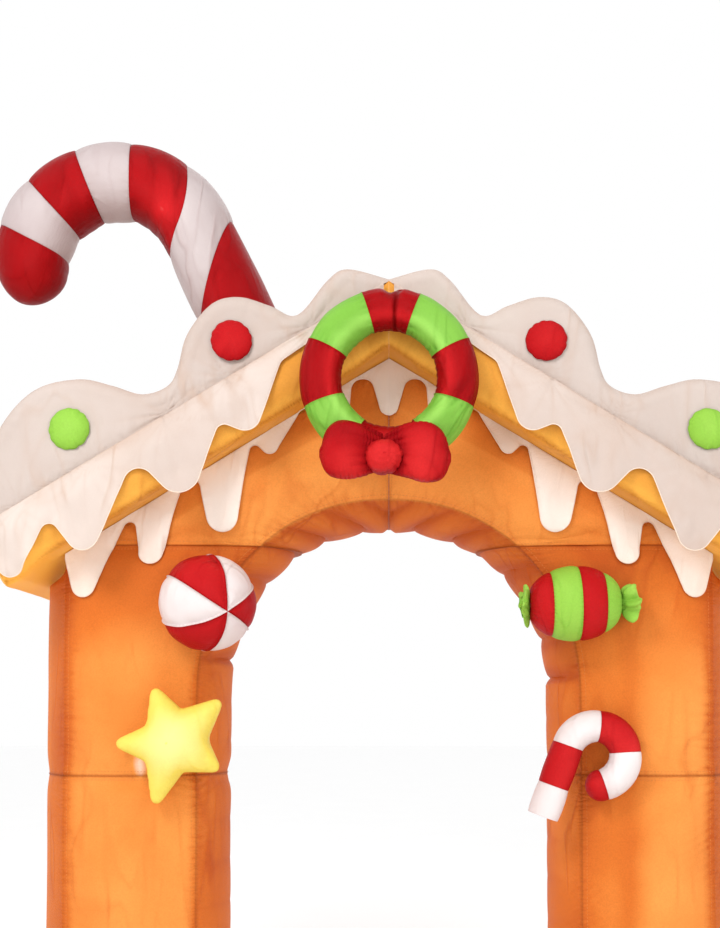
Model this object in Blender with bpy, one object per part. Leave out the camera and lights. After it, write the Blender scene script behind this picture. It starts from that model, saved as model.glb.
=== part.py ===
"""Inflatable archway shaped like the front of a gingerbread house, in metres with +Z up.

A wall with an arched opening stands on two feet and carries two sloping roof slabs.
Icing stands along the front edge of the roof, drips over its front and over the wall
below it, and sweets are sewn to the front: a wreath with a bow, a peppermint, a wrapped
sweet, a star, a small candy cane and a large one that stands on the roof. Each piece is
filled with air, so it bulges between its seams; the dripping icing is flat cloth.
Shapes are worked out with the middle of the wall's thickness at Y = 0.
"""

import math

import bmesh
import bpy
from mathutils import Matrix, Vector

# Air between pieces that touch, and the thickness of the flat cloth.
TOUCH = 0.0003
CLOTH = 0.003

# Where the middle of the wall stands, so that the origin is below the middle of the whole arch.
WALL_PLACE = (0.038, 0.114, 0.0)

# The wall: half widths are measured out from its middle, heights up from the floor.
WALL_HALF_DEPTH = 0.25
OPENING_SEAM = {"half_width": 0.76, "spring": 1.356, "rise": 0.78}
OPENING_CLEAR = {"half_width": 0.653, "spring": 1.356, "rise": 0.68}
OPENING_SQUARENESS = 2.1
LEG_OUTER = 1.29
LEG_BULGE = 0.12
PANEL_BULGE = 0.065
RING_SEAM_Z = 1.04
SPRING_SEAM_Z = 1.95
BASE_HEIGHTS = (0.0, 0.03, 0.1, 0.3, 0.6, 0.85, 0.97, RING_SEAM_Z)
LEG_HEIGHTS = (RING_SEAM_Z, 1.1, 1.2, 1.4, 1.55, 1.68, 1.78, 1.84, 1.89, SPRING_SEAM_Z)
GABLE_PLACES = (0.0, 0.08, 0.2, 0.34, 0.48, 0.62, 0.76, 0.88, 0.96, 1.0)
GABLE_LENGTH = 0.7
SEAM_REACH = 0.05
PANEL_STEPS = 8
PANEL_SQUARENESS = 2.4
GUSSET_STEPS = 5
PANEL_DRAW_IN = 0.45
SIDE_DRAW_IN = 0.07
OPENING_DRAW_IN = 0.16

# The roof slabs.
ROOF_SLOPE = 0.61
ROOF_TOP_Z = 2.95
ROOF_UNDER_Z = 2.705
ROOF_HALF_DEPTH = 0.45
ROOF_LENGTH = 1.72
ROOF_FACE_BULGE = 0.045
ROOF_TOP_BULGE = 0.05
ROOF_LIP_DIP = 0.02
ROOF_STEPS = 12
ROOF_END_REACH = 0.1
ROOF_END_DRAW_IN = 0.55
RIDGE_FULLNESS = 0.35
FACE_SHARES = (0.12, 0.3, 0.5, 0.7, 0.88)
FIRST_STATION = 0.06
STATION_CROWDING = 0.9
EAVE_BULGE = 0.065
EAVE_CAP_SCALES = (0.75, 0.4)
EAVE_DROOP = {"depth": 0.035, "start": 0.16, "length": 0.1}

# The icing that stands on the roof: its top outline, out from the middle and up.
FIN_FRONT_Y = -0.455
FIN_THICKNESS = 0.14
FIN_ROUNDING = 0.05
FIN_FOOT = 0.05
FIN_OUTLINE = (
    {"out": 0.0, "up": 2.972},
    {"out": 0.16, "up": 3.012},
    {"out": 0.24, "up": 2.968},
    {"out": 0.356, "up": 2.832},
    {"out": 0.46, "up": 2.868},
    {"out": 0.582, "up": 2.903},
    {"out": 0.69, "up": 2.875},
    {"out": 0.785, "up": 2.755},
    {"out": 0.822, "up": 2.62},
    {"out": 0.86, "up": 2.553},
    {"out": 0.955, "up": 2.522},
    {"out": 1.07, "up": 2.556},
    {"out": 1.2, "up": 2.582},
    {"out": 1.37, "up": 2.54},
    {"out": 1.5, "up": 2.4},
    {"out": 1.575, "up": 2.2},
    {"out": 1.6, "up": 2.02},
)
FIN_DOTS = (
    {"colour": "red", "out": 0.605, "up": 2.716},
    {"colour": "green", "out": 1.225, "up": 2.374},
)
DOT_RADIUS = 0.079
DOT_HEIGHT = 0.035

# Lower edges of the dripping icing: tips and notches in turn, each an arc of radius "round"
# whose lowest or highest point is (out, up), joined by straight sides.
APRON_EDGE = (
    {"out": 0.02, "up": 2.9, "round": 0.0},
    {"out": 0.37, "up": 2.645, "round": 0.05},
    {"out": 0.545, "up": 2.358, "round": 0.06},
    {"out": 0.624, "up": 2.382, "round": 0.034},
    {"out": 0.798, "up": 2.122, "round": 0.08},
    {"out": 0.947, "up": 2.214, "round": 0.06},
    {"out": 1.156, "up": 1.901, "round": 0.062},
    {"out": 1.285, "up": 2.004, "round": 0.035},
    {"out": 1.43, "up": 1.8, "round": 0.05},
    {"out": 1.5, "up": 1.86, "round": 0.0},
)
WALL_ICING_EDGE = (
    {"out": 0.0, "up": 2.464, "round": 0.035},
    {"out": 0.095, "up": 2.617, "round": 0.03},
    {"out": 0.2, "up": 2.41, "round": 0.04},
    {"out": 0.33, "up": 2.5, "round": 0.03},
    {"out": 0.47, "up": 2.309, "round": 0.03},
    {"out": 0.532, "up": 2.35, "round": 0.022},
    {"out": 0.655, "up": 2.0, "round": 0.06},
    {"out": 0.782, "up": 2.21, "round": 0.04},
    {"out": 0.938, "up": 1.873, "round": 0.046},
    {"out": 1.026, "up": 2.044, "round": 0.028},
    {"out": 1.206, "up": 1.744, "round": 0.05},
    {"out": 1.284, "up": 1.9, "round": 0.0},
)
DRIP_STEPS = 6
HANG_SHARES = (-1.0, -0.4, 0.2)
CLOTH_FRONT_Y = {"apron": -0.6, "wall": -0.4}
CLOTH_REACH = 0.2

# The wreath: a ring of eight padded lengths, tipped back a little, and its bow.
WREATH_CENTRE = (0.0, -0.545, 2.545)
WREATH_RADIUS = 0.2575
WREATH_TUBE = 0.0825
WREATH_TIP = math.radians(4)
WREATH_SIDES = 12
WREATH_DRAW_IN = 0.07
WREATH_SEAMS = (73, 107, 154, 199, 240, 300, 341, 386, 433)
WREATH_COLOURS = ("red", "green", "red", "green", "red", "green", "red", "green")
BOW_CENTRE = (-0.018, -0.645, 2.228)
BOW_LOBE = (
    {"out": 0.02, "half_height": 0.05, "half_depth": 0.03, "up": 0.0},
    {"out": 0.07, "half_height": 0.085, "half_depth": 0.052, "up": 0.01},
    {"out": 0.15, "half_height": 0.122, "half_depth": 0.07, "up": 0.022},
    {"out": 0.21, "half_height": 0.118, "half_depth": 0.06, "up": 0.02},
    {"out": 0.243, "half_height": 0.085, "half_depth": 0.035, "up": 0.015},
)
BOW_KNOT = {"half_width": 0.07, "half_height": 0.078, "half_depth": 0.08}

# Sweets on the legs.
MINT_CENTRE = (-0.7, -0.39, 1.711)
MINT_RADIUS = 0.19
MINT_FACING = Vector((0.515, -0.824, -0.237))
MINT_GORES = 6
MINT_START = math.radians(20)
MINT_TWIST = math.radians(20)
MINT_POLE = 0.035
SWEET_CENTRE = (0.72, -0.375, 1.71)
SWEET_TURN = math.radians(-2)
SWEET_STRIPES = ("red", "green", "red", "green")
SWEET_EDGES = (-0.175, -0.094, 0.012, 0.11, 0.175)
SWEET_RADIUS = 0.147
SWEET_NECK = 0.05
SWEET_SHOULDER = {"square": 3.2, "round": 0.62}
FRILL = {"start": 0.178, "neck": 0.03, "rim": 0.078, "folds": 7, "fold_depth": 0.18, "sway": 0.012}
FRILL_ENDS = {"left": 0.212, "right": 0.244}
FRILL_PROFILE = (
    {"along": 0.0, "open": 0.0},
    {"along": 0.35, "open": 0.3},
    {"along": 0.7, "open": 0.75},
    {"along": 1.0, "open": 1.0},
)
STAR_CENTRE = (-0.842, -0.365, 1.172)
STAR_TIP_ROUND = 0.022
# Which way each arm points, how far it reaches, and how far out the notch after it is.
STAR_ARMS = (
    {"way": 107, "tip": 0.222, "notch": 0.113},
    {"way": 181, "tip": 0.214, "notch": 0.118},
    {"way": 256, "tip": 0.245, "notch": 0.122},
    {"way": 331, "tip": 0.215, "notch": 0.142},
    {"way": 400, "tip": 0.252, "notch": 0.134},
)
# From the sewn edge to the middle: how much of the outline is left, and the half thickness.
STAR_LAYERS = (
    {"share": 1.0, "depth": 0.012},
    {"share": 0.93, "depth": 0.045},
    {"share": 0.75, "depth": 0.074},
    {"share": 0.45, "depth": 0.1},
    {"share": 0.15, "depth": 0.114},
)

# The candy canes: a hook and a shaft in one upright plane. Each stripe ends at a seam, given
# as the way along the cane from the top of its shaft, on the hook's outer and inner side.
LARGE_CANE = {
    "hook": (-1.15, 0.05, 3.176),
    "hook_radius": 0.37,
    "tube": 0.1645,
    "lean": 25,
    "hook_end": 172,
    "tip": 0.17,
    "shaft": 0.86,
    "side": 1,
    "seams": (
        {"outer": -0.03, "inner": -0.37},
        {"outer": 0.198, "inner": -0.06},
        {"outer": 0.376, "inner": 0.319},
        {"outer": 0.548, "inner": 0.539},
        {"outer": 0.719, "inner": 0.754},
        {"outer": 0.878, "inner": 0.955},
    ),
}
SMALL_CANE = {
    "hook": (0.802, -0.352, 1.1205),
    "hook_radius": 0.115,
    "tube": 0.0644,
    "lean": 20,
    "hook_end": 266,
    "tip": 0.05,
    "shaft": 0.29,
    "side": -1,
    "seams": (
        {"outer": -0.165, "inner": -0.165},
        {"outer": 0.0, "inner": 0.0},
        {"outer": 0.152, "inner": 0.153},
        {"outer": 0.31, "inner": 0.3},
        {"outer": 0.47, "inner": 0.48},
    ),
}
CANE_SIDES = 16
CANE_STEP = 0.6
CANE_DRAW_IN = 0.06
CANE_TIP = {"crowding": 1.6, "least": 0.2, "round": 0.6}

COLOURS = {
    "orange": (0.85, 0.32, 0.06),
    "amber": (0.79, 0.38, 0.05),
    "white": (0.83, 0.76, 0.70),
    "red": (0.62, 0.02, 0.03),
    "green": (0.33, 0.66, 0.09),
    "yellow": (0.95, 0.80, 0.14),
}


def clear_scene():
    for old in list(bpy.data.objects):
        bpy.data.objects.remove(old, do_unlink=True)


def new_collection(name):
    made = bpy.data.collections.new(name)
    bpy.context.scene.collection.children.link(made)
    return made


def material(colour):
    """A satin woven nylon of this colour, made once for each piece that asks for it."""
    made = bpy.data.materials.new(f"{colour}_nylon")
    made.use_nodes = True
    shader = made.node_tree.nodes["Principled BSDF"]
    shader.inputs["Base Color"].default_value = (*COLOURS[colour], 1.0)
    shader.inputs["Roughness"].default_value = 0.55
    shader.inputs["Metallic"].default_value = 0.0
    return made


clear_scene()
ARCH = new_collection("inflatable_arch")
CUTTERS = new_collection("cutters")
PLACE = bpy.data.objects.new("arch_place", None)
PLACE.location = WALL_PLACE
ARCH.objects.link(PLACE)


def add_piece(name, mesh, colour):
    """A visible piece, standing in the arch's own place."""
    mesh.materials.clear()
    mesh.materials.append(material(colour))
    mesh.shade_smooth()
    mesh.set_sharp_from_angle(angle=math.radians(40))
    piece = bpy.data.objects.new(name, mesh)
    piece.parent = PLACE
    ARCH.objects.link(piece)
    return piece


def add_cutter(name, mesh):
    cutter = bpy.data.objects.new(name, mesh)
    cutter.parent = PLACE
    cutter.hide_render = True
    cutter.display_type = "WIRE"
    CUTTERS.objects.link(cutter)
    return cutter


def cut(piece, cutter, operation="DIFFERENCE", solver="EXACT"):
    boolean = piece.modifiers.new(f"{operation.lower()}_{cutter.name}", "BOOLEAN")
    boolean.object = cutter
    boolean.operation = operation
    boolean.solver = solver


def mesh_of(shape):
    """The mesh of a working shape, closed, with its faces turned outwards."""
    bmesh.ops.remove_doubles(shape, verts=shape.verts, dist=0.00005)
    bmesh.ops.recalc_face_normals(shape, faces=shape.faces)
    mesh = bpy.data.meshes.new("shape")
    shape.to_mesh(mesh)
    shape.free()
    return mesh


def loft(rings, turned=()):
    """A closed shape through rings of points of one count, its two ends filled.

    Strips whose numbers are in turned have their triangles' shared edge the other way.
    """
    shape = bmesh.new()
    rows = [[shape.verts.new(point) for point in ring] for ring in rings]
    for row, after in zip(rows, rows[1:]):
        for i in range(len(row)):
            j = (i + 1) % len(row)
            if i in turned:
                shape.faces.new((row[i], row[j], after[i]))
                shape.faces.new((row[j], after[j], after[i]))
            else:
                shape.faces.new((row[i], row[j], after[j]))
                shape.faces.new((row[i], after[j], after[i]))
    for row in (rows[0], rows[-1]):
        middle = shape.verts.new(sum((v.co for v in row), Vector()) / len(row))
        for i in range(len(row)):
            shape.faces.new((middle, row[i], row[(i + 1) % len(row)]))
    return shape


def grown(mesh, amount):
    """A copy of a mesh whose surface stands this far outside the first."""
    shape = bmesh.new()
    shape.from_mesh(mesh)
    shape.normal_update()
    moved = [v.co + v.normal * (amount * v.calc_shell_factor()) for v in shape.verts]
    for vertex, place in zip(shape.verts, moved):
        vertex.co = place
    copy = bpy.data.meshes.new("grown")
    shape.to_mesh(copy)
    shape.free()
    return copy


def mesh_from_curve(curve, turn):
    """Turns a curve into a closed mesh, set upright by a matrix."""
    holder = bpy.data.objects.new("curve", curve)
    ARCH.objects.link(holder)
    bpy.context.view_layer.update()
    evaluated = holder.evaluated_get(bpy.context.evaluated_depsgraph_get())
    mesh = bpy.data.meshes.new_from_object(evaluated)
    bpy.data.objects.remove(holder, do_unlink=True)
    bpy.data.curves.remove(curve)
    mesh.transform(turn)
    shape = bmesh.new()
    shape.from_mesh(mesh)
    bpy.data.meshes.remove(mesh)
    return mesh_of(shape)


def plate(outline, front_y, thickness, rounding=0.0):
    """A flat outline, (out, up) points, given a thickness behind front_y and rounded edges."""
    curve = bpy.data.curves.new("outline", "CURVE")
    curve.dimensions = "2D"
    curve.fill_mode = "BOTH"
    curve.extrude = thickness / 2 - rounding
    curve.bevel_depth = rounding
    curve.bevel_resolution = 1
    curve.offset = -rounding
    spline = curve.splines.new("POLY")
    spline.points.add(len(outline) - 1)
    for point, (out, up) in zip(spline.points, outline):
        point.co = (out, up, 0.0, 1.0)
    spline.use_cyclic_u = True
    upright = Matrix.Rotation(math.radians(90), 4, "X")
    return mesh_from_curve(curve, Matrix.Translation((0, front_y + thickness / 2, 0)) @ upright)


def tube(points, radii, sides):
    """A round tube along points, with its own radius at each."""
    curve = bpy.data.curves.new("path", "CURVE")
    curve.dimensions = "3D"
    curve.bevel_mode = "ROUND"
    curve.bevel_depth = 1.0
    curve.bevel_resolution = sides // 2 - 2
    curve.use_fill_caps = True
    spline = curve.splines.new("POLY")
    spline.points.add(len(points) - 1)
    for point, place, radius in zip(spline.points, points, radii):
        point.co = (*place, 1.0)
        point.radius = radius
    return mesh_from_curve(curve, Matrix.Identity(4))


def both_sides():
    return (("left", -1), ("right", 1))


# ---- the wall ----


def half_width_at(opening, height):
    above = max(0.0, height - opening["spring"]) / opening["rise"]
    power = OPENING_SQUARENESS
    return opening["half_width"] * max(0.0, 1.0 - above**power) ** (1.0 / power)


def top_at(opening, out):
    power = OPENING_SQUARENESS
    share = max(0.0, 1.0 - (out / opening["half_width"]) ** power) ** (1.0 / power)
    return opening["spring"] + opening["rise"] * share


def roof_reach(height):
    """How far out the roof's underside is at this height."""
    return (ROOF_UNDER_Z - TOUCH - height) / ROOF_SLOPE


def wall_ring(clear, seam, outer, panel_bulge, outer_bulge, side):
    """A ring round the wall: front panel, outer side, back panel and the opening's side."""
    outwards = (outer - seam).normalized()
    ring = []
    for i in range(PANEL_STEPS):
        share = 0.5 - 0.5 * math.cos(math.pi * i / PANEL_STEPS)
        depth = WALL_HALF_DEPTH + panel_bulge * (1 - abs(2 * share - 1) ** PANEL_SQUARENESS)
        ring.append((seam.lerp(outer, share), -depth))
    for i in range(GUSSET_STEPS):
        across = 2 * i / GUSSET_STEPS - 1
        ring.append((outer + outwards * outer_bulge * (1 - across**2), across * WALL_HALF_DEPTH))
    for i in range(PANEL_STEPS):
        share = 0.5 + 0.5 * math.cos(math.pi * i / PANEL_STEPS)
        depth = WALL_HALF_DEPTH + panel_bulge * (1 - abs(2 * share - 1) ** PANEL_SQUARENESS)
        ring.append((seam.lerp(outer, share), depth))
    for i in range(GUSSET_STEPS):
        across = 1 - 2 * i / GUSSET_STEPS
        ring.append((seam.lerp(clear, 1 - across**2), across * WALL_HALF_DEPTH))
    return [Vector((side * place.x, depth, place.y)) for place, depth in ring]


def drawn_in(distance):
    """How much a seam this far away draws the filled cloth in, from 1 at the seam to 0."""
    return math.exp(-((distance / SEAM_REACH) ** 2))


def leg_ring(height, side):
    pinch = drawn_in(height - RING_SEAM_Z) + drawn_in(height - SPRING_SEAM_Z) + drawn_in(height)
    pinch = min(1.0, pinch)
    seam = Vector((half_width_at(OPENING_SEAM, height), height))
    clear = Vector((half_width_at(OPENING_CLEAR, height), height))
    outer = Vector((min(LEG_OUTER, roof_reach(height)), height))
    room = max(0.0, roof_reach(height + EAVE_DROOP["depth"]) - outer.x)
    bulge = min(LEG_BULGE * (1 - SIDE_DRAW_IN * pinch), room)
    clear = clear.lerp(seam, OPENING_DRAW_IN * pinch)
    return wall_ring(clear, seam, outer, PANEL_BULGE * (1 - PANEL_DRAW_IN * pinch), bulge, side)


def gable_ring(place, side):
    """place runs from 0 at the level seam above the leg to 1 at the middle of the wall."""
    left = 1.0 - place
    seam_out = left * half_width_at(OPENING_SEAM, SPRING_SEAM_Z)
    clear_out = left * half_width_at(OPENING_CLEAR, SPRING_SEAM_Z)
    seam = Vector((seam_out, top_at(OPENING_SEAM, seam_out)))
    clear = Vector((clear_out, top_at(OPENING_CLEAR, clear_out)))
    away = (seam - clear).normalized()
    room = ROOF_UNDER_Z - TOUCH - seam.y - ROOF_SLOPE * seam.x
    outer = seam + away * (room / (away.y + ROOF_SLOPE * away.x))
    pinch = min(1.0, drawn_in((outer.x + seam.x) / 2 - TOUCH / 2) + drawn_in(place * GABLE_LENGTH))
    clear = clear.lerp(seam, OPENING_DRAW_IN * pinch)
    return wall_ring(clear, seam, outer, PANEL_BULGE * (1 - PANEL_DRAW_IN * pinch), 0.0, side)


def nudged(ring, x=0.0, z=0.0):
    return [point + Vector((x, 0, z)) for point in ring]


def wall_pieces(side_name, side):
    base = [leg_ring(z, side) for z in BASE_HEIGHTS]
    leg = [leg_ring(z, side) for z in LEG_HEIGHTS]
    gable = [gable_ring(place, side) for place in GABLE_PLACES]
    whole = base + leg[1:] + gable[1:]
    half = TOUCH / 2
    base[-1] = nudged(base[-1], z=-half)
    leg[0] = nudged(leg[0], z=half)
    leg[-1] = nudged(leg[-1], z=-half)
    gable[0] = nudged(gable[0], z=half)
    gable[-1] = nudged(gable[-1], x=side * half)
    add_piece(f"leg_base_{side_name}", mesh_of(loft(base)), "orange")
    add_piece(f"leg_{side_name}", mesh_of(loft(leg)), "orange")
    add_piece(f"gable_{side_name}", mesh_of(loft(gable)), "orange")
    return mesh_of(loft(whole))


# ---- the roof ----

ROOF_ANGLE = math.atan(ROOF_SLOPE)
DOWN_SLOPE = Vector((math.cos(ROOF_ANGLE), -math.sin(ROOF_ANGLE)))
ROOF_UP = Vector((math.sin(ROOF_ANGLE), math.cos(ROOF_ANGLE)))
ROOF_THICKNESS = (ROOF_TOP_Z - ROOF_UNDER_Z) * math.cos(ROOF_ANGLE)


def roof_stations():
    """(under, top, fullness) at places down a slab, from the ridge to the eave."""
    ridge = Vector((0.0, ROOF_UNDER_Z))
    stations = [(ridge, Vector((0.0, ROOF_TOP_Z)), RIDGE_FULLNESS)]
    room = ROOF_LENGTH - FIRST_STATION
    for i in range(ROOF_STEPS):
        share = i / (ROOF_STEPS - 1)
        along = FIRST_STATION + room * math.sin(share * math.pi / 2) ** STATION_CROWDING
        from_end = min(along, ROOF_LENGTH - along)
        fullness = 1 - ROOF_END_DRAW_IN * math.exp(-((from_end / ROOF_END_REACH) ** 2))
        on_slope = ridge + DOWN_SLOPE * along
        past = (along - ROOF_LENGTH + EAVE_DROOP["start"]) / EAVE_DROOP["length"]
        droop = EAVE_DROOP["depth"] * min(1.0, max(0.0, past))
        top = on_slope + ROOF_UP * ROOF_THICKNESS
        stations.append((on_slope - Vector((0.0, droop)), top, fullness))
    return stations


def face_points(under, top, fullness, shares):
    """Points up the bulging front of a slab: a share of 0 is its lower edge, 1 its top edge."""
    lip = under - (top - under).normalized() * ROOF_LIP_DIP * fullness
    points = []
    for share in shares:
        bulge = ROOF_FACE_BULGE * fullness * max(0.0, 1 - (2 * share - 1) ** 2)
        points.append((lip.lerp(top, share), -ROOF_HALF_DEPTH - bulge))
    return points


def slab_ring(under, top, fullness, side):
    """A ring round a roof slab; fullness is how much its faces bulge here."""
    up = (top - under).normalized()
    lip = under - up * ROOF_LIP_DIP * fullness
    middle = (WALL_HALF_DEPTH + ROOF_HALF_DEPTH) / 2
    half_lip = under.lerp(lip, 0.5)
    ring = [(lip, ROOF_HALF_DEPTH), (half_lip, middle), (under, WALL_HALF_DEPTH), (under, 0.0)]
    ring += [(under, -WALL_HALF_DEPTH), (half_lip, -middle), (lip, -ROOF_HALF_DEPTH)]
    front = face_points(under, top, fullness, FACE_SHARES)
    ring += front
    for i in range(7):
        across = i / 3 - 1
        rise = up * ROOF_TOP_BULGE * fullness * (1 - across**2)
        ring.append((top + rise, across * ROOF_HALF_DEPTH))
    ring += [(place, -depth) for place, depth in reversed(front)]
    return [Vector((side * place.x, depth, place.y)) for place, depth in ring]


def slab_mesh(side):
    rings = [slab_ring(*station, side) for station in roof_stations()]
    rings[0] = nudged(rings[0], x=side * TOUCH / 2)
    end = rings[-1]
    centre = sum(end, Vector()) / len(end)
    outwards = Vector((side * DOWN_SLOPE.x, 0, DOWN_SLOPE.y))
    for scale in EAVE_CAP_SCALES:
        push = outwards * EAVE_BULGE * (1 - scale**2)
        rings.append([centre + (point - centre) * scale + push for point in end])
    return mesh_of(loft(rings))


def apron_form_mesh(side):
    """What the apron hangs over: the upper half of a slab's front, then straight down."""
    rings = []
    for under, top, fullness in roof_stations():
        upper = [share for share in FACE_SHARES if share >= 0.5]
        front = face_points(under, top, fullness, upper) + [(top, -ROOF_HALF_DEPTH)]
        hanging = [(under.lerp(top, share), front[0][1]) for share in HANG_SHARES]
        back = [(top, -WALL_HALF_DEPTH), (hanging[0][0], -WALL_HALF_DEPTH)]
        ring = hanging + front + back
        rings.append([Vector((side * place.x, depth, place.y)) for place, depth in ring])
    rings[0] = nudged(rings[0], x=side * TOUCH / 2)
    return mesh_of(loft(rings))


def smooth_through(rows, steps):
    """Points on a smooth line through rows of (out, up)."""
    points = [Vector((row["out"], row["up"])) for row in rows]
    ends = [points[0]] + points + [points[-1]]
    line = []
    for before, start, stop, after in zip(ends, ends[1:], ends[2:], ends[3:]):
        for i in range(steps):
            t = i / steps
            line.append(
                0.5
                * (
                    2 * start
                    + (stop - before) * t
                    + (2 * before - 5 * start + 4 * stop - after) * t**2
                    + (3 * start - before - 3 * stop + after) * t**3
                )
            )
    return line + [points[-1]]


def drip_line(rows, first_is_tip):
    """The lower edge of dripping icing: arcs round the tips and notches, joined by tangents."""
    turns = [1 if (i % 2 == 0) == first_is_tip else -1 for i in range(len(rows))]
    places = [Vector((row["out"], row["up"])) for row in rows]
    centres = [
        place + Vector((0, turn * row["round"])) for place, turn, row in zip(places, turns, rows)
    ]
    headings = [0.0]
    for i in range(len(rows) - 1):
        between = centres[i + 1] - centres[i]
        both = rows[i]["round"] + rows[i + 1]["round"]
        straight = math.sqrt(max(0.0, between.length_squared - both**2))
        angle = math.atan2(between.y, between.x)
        headings.append(angle + turns[i] * math.atan2(both, straight))
    headings.append(0.0)
    line = []
    for row, turn, centre, start, stop in zip(rows, turns, centres, headings, headings[1:]):
        steps = DRIP_STEPS if row["round"] else 0
        for i in range(steps + 1):
            heading = start + (stop - start) * i / max(1, steps)
            inwards = Vector((-math.sin(heading), math.cos(heading)))
            line.append(centre - inwards * turn * row["round"])
    return line


def on_side(outline, side):
    return [(side * out, up) for out, up in outline]


def fin_mesh(side):
    """The icing that stands on a slab's front edge; its foot reaches into the slab."""
    top = [(max(TOUCH / 2, point.x), point.y) for point in smooth_through(FIN_OUTLINE, 2)]
    end, start = top[-1][0], top[0][0]
    foot = [(end, ROOF_TOP_Z - ROOF_SLOPE * end - FIN_FOOT), (start, ROOF_TOP_Z - FIN_FOOT)]
    return plate(on_side(top + foot, side), FIN_FRONT_Y, FIN_THICKNESS, FIN_ROUNDING)


def cloth_on(name, outline, side, carrier, front_y):
    """White cloth of this outline that lies on the front of a form."""
    piece = add_piece(name, plate(on_side(outline, side), front_y, CLOTH_REACH), "white")
    outside = add_cutter(f"{name}_outside", grown(carrier, TOUCH + CLOTH))
    cut(piece, outside, "INTERSECT", solver="MANIFOLD")
    cut(piece, add_cutter(f"{name}_inside", grown(carrier, TOUCH)), solver="MANIFOLD")
    return piece


def apron_outline():
    edge = drip_line(APRON_EDGE, first_is_tip=True)
    start, end = edge[0].x, edge[-1].x
    below_seam = 0.006
    top = [(end, ROOF_TOP_Z - ROOF_SLOPE * end - below_seam)]
    top.append((start, ROOF_TOP_Z - ROOF_SLOPE * start - below_seam))
    return [tuple(point) for point in edge] + top


def wall_icing_outline():
    edge = drip_line(WALL_ICING_EDGE, first_is_tip=True)
    edge[0] = Vector((TOUCH / 2, edge[0].y))
    end = edge[-1].x
    below_roof = 0.005
    top = [(end, ROOF_UNDER_Z - ROOF_SLOPE * end - below_roof)]
    top.append((TOUCH / 2, ROOF_UNDER_Z - below_roof))
    return [tuple(point) for point in edge] + top


def dot_mesh(out, up, side):
    """A round padded spot on the standing icing."""
    shape = bmesh.new()
    bmesh.ops.create_cone(
        shape,
        cap_ends=True,
        segments=18,
        radius1=DOT_RADIUS,
        radius2=DOT_RADIUS * 0.72,
        depth=DOT_HEIGHT,
    )
    rim = [e for e in shape.edges if all(v.co.z > 0 for v in e.verts)]
    bmesh.ops.bevel(shape, geom=rim, offset=0.012, segments=2, profile=0.5, affect="EDGES")
    place = Vector((side * out, FIN_FRONT_Y - TOUCH - DOT_HEIGHT / 2, up))
    turn = Matrix.Translation(place) @ Matrix.Rotation(math.radians(90), 4, "X")
    bmesh.ops.transform(shape, matrix=turn, verts=shape.verts)
    return mesh_of(shape)


# ---- the wreath and its bow ----


def wreath_circle(angle, radius):
    """A ring of points round the wreath's tube at this angle."""
    tip = Matrix.Rotation(WREATH_TIP, 3, "X")
    out = tip @ Vector((math.cos(angle), 0, math.sin(angle)))
    deep = tip @ Vector((0, 1, 0))
    turns = [2 * math.pi * j / WREATH_SIDES for j in range(WREATH_SIDES)]
    middle = Vector(WREATH_CENTRE) + out * WREATH_RADIUS
    return [middle + (out * math.cos(turn) + deep * math.sin(turn)) * radius for turn in turns]


def wreath_length_mesh(start, stop):
    """One padded length of the ring, drawn in at both ends."""
    inset = TOUCH / WREATH_RADIUS
    steps = 5
    rings = []
    for i in range(steps + 1):
        share = i / steps
        angle = math.radians(start) + inset
        angle += (math.radians(stop - start) - 2 * inset) * share
        slack = 1 - math.sin(math.pi * share) ** 0.6
        rings.append(wreath_circle(angle, WREATH_TUBE * (1 - WREATH_DRAW_IN * slack)))
    return mesh_of(loft(rings))


def wreath_room_mesh():
    """The whole ring, a little fatter, as the room that the bow leaves for it."""
    around = 40
    shape = bmesh.new()
    rows = []
    for i in range(around):
        ring = wreath_circle(2 * math.pi * i / around, WREATH_TUBE + 0.004)
        rows.append([shape.verts.new(point) for point in ring])
    for row, after in zip(rows, rows[1:] + rows[:1]):
        for j in range(WREATH_SIDES):
            k = (j + 1) % WREATH_SIDES
            shape.faces.new((row[j], row[k], after[k], after[j]))
    return mesh_of(shape)


def round_ring(centre, first, second, squareness, count):
    """Points of a rounded square or oval round a centre, in the plane of two half axes."""
    ring = []
    for i in range(count):
        angle = 2 * math.pi * i / count
        c, s = math.cos(angle), math.sin(angle)
        a = math.copysign(abs(c) ** (2 / squareness), c)
        b = math.copysign(abs(s) ** (2 / squareness), s)
        ring.append(centre + first * a + second * b)
    return ring


def bow_lobe_mesh(side):
    rings = []
    for row in BOW_LOBE:
        centre = Vector(BOW_CENTRE) + Vector((side * row["out"], 0, row["up"]))
        up, deep = Vector((0, 0, row["half_height"])), Vector((0, row["half_depth"], 0))
        rings.append(round_ring(centre, up, deep, 2.3, 14))
    return mesh_of(loft(rings))


def bow_knot_mesh(extra=0.0):
    shape = bmesh.new()
    bmesh.ops.create_uvsphere(shape, u_segments=14, v_segments=9, radius=1.0)
    scale = Vector(BOW_KNOT.values()) + Vector((extra, extra, extra))
    scale = Vector((scale.x, scale.z, scale.y))
    for vertex in shape.verts:
        vertex.co = Vector(BOW_CENTRE) + Vector(a * b for a, b in zip(vertex.co, scale))
    return mesh_of(shape)


# ---- the sweets ----


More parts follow.
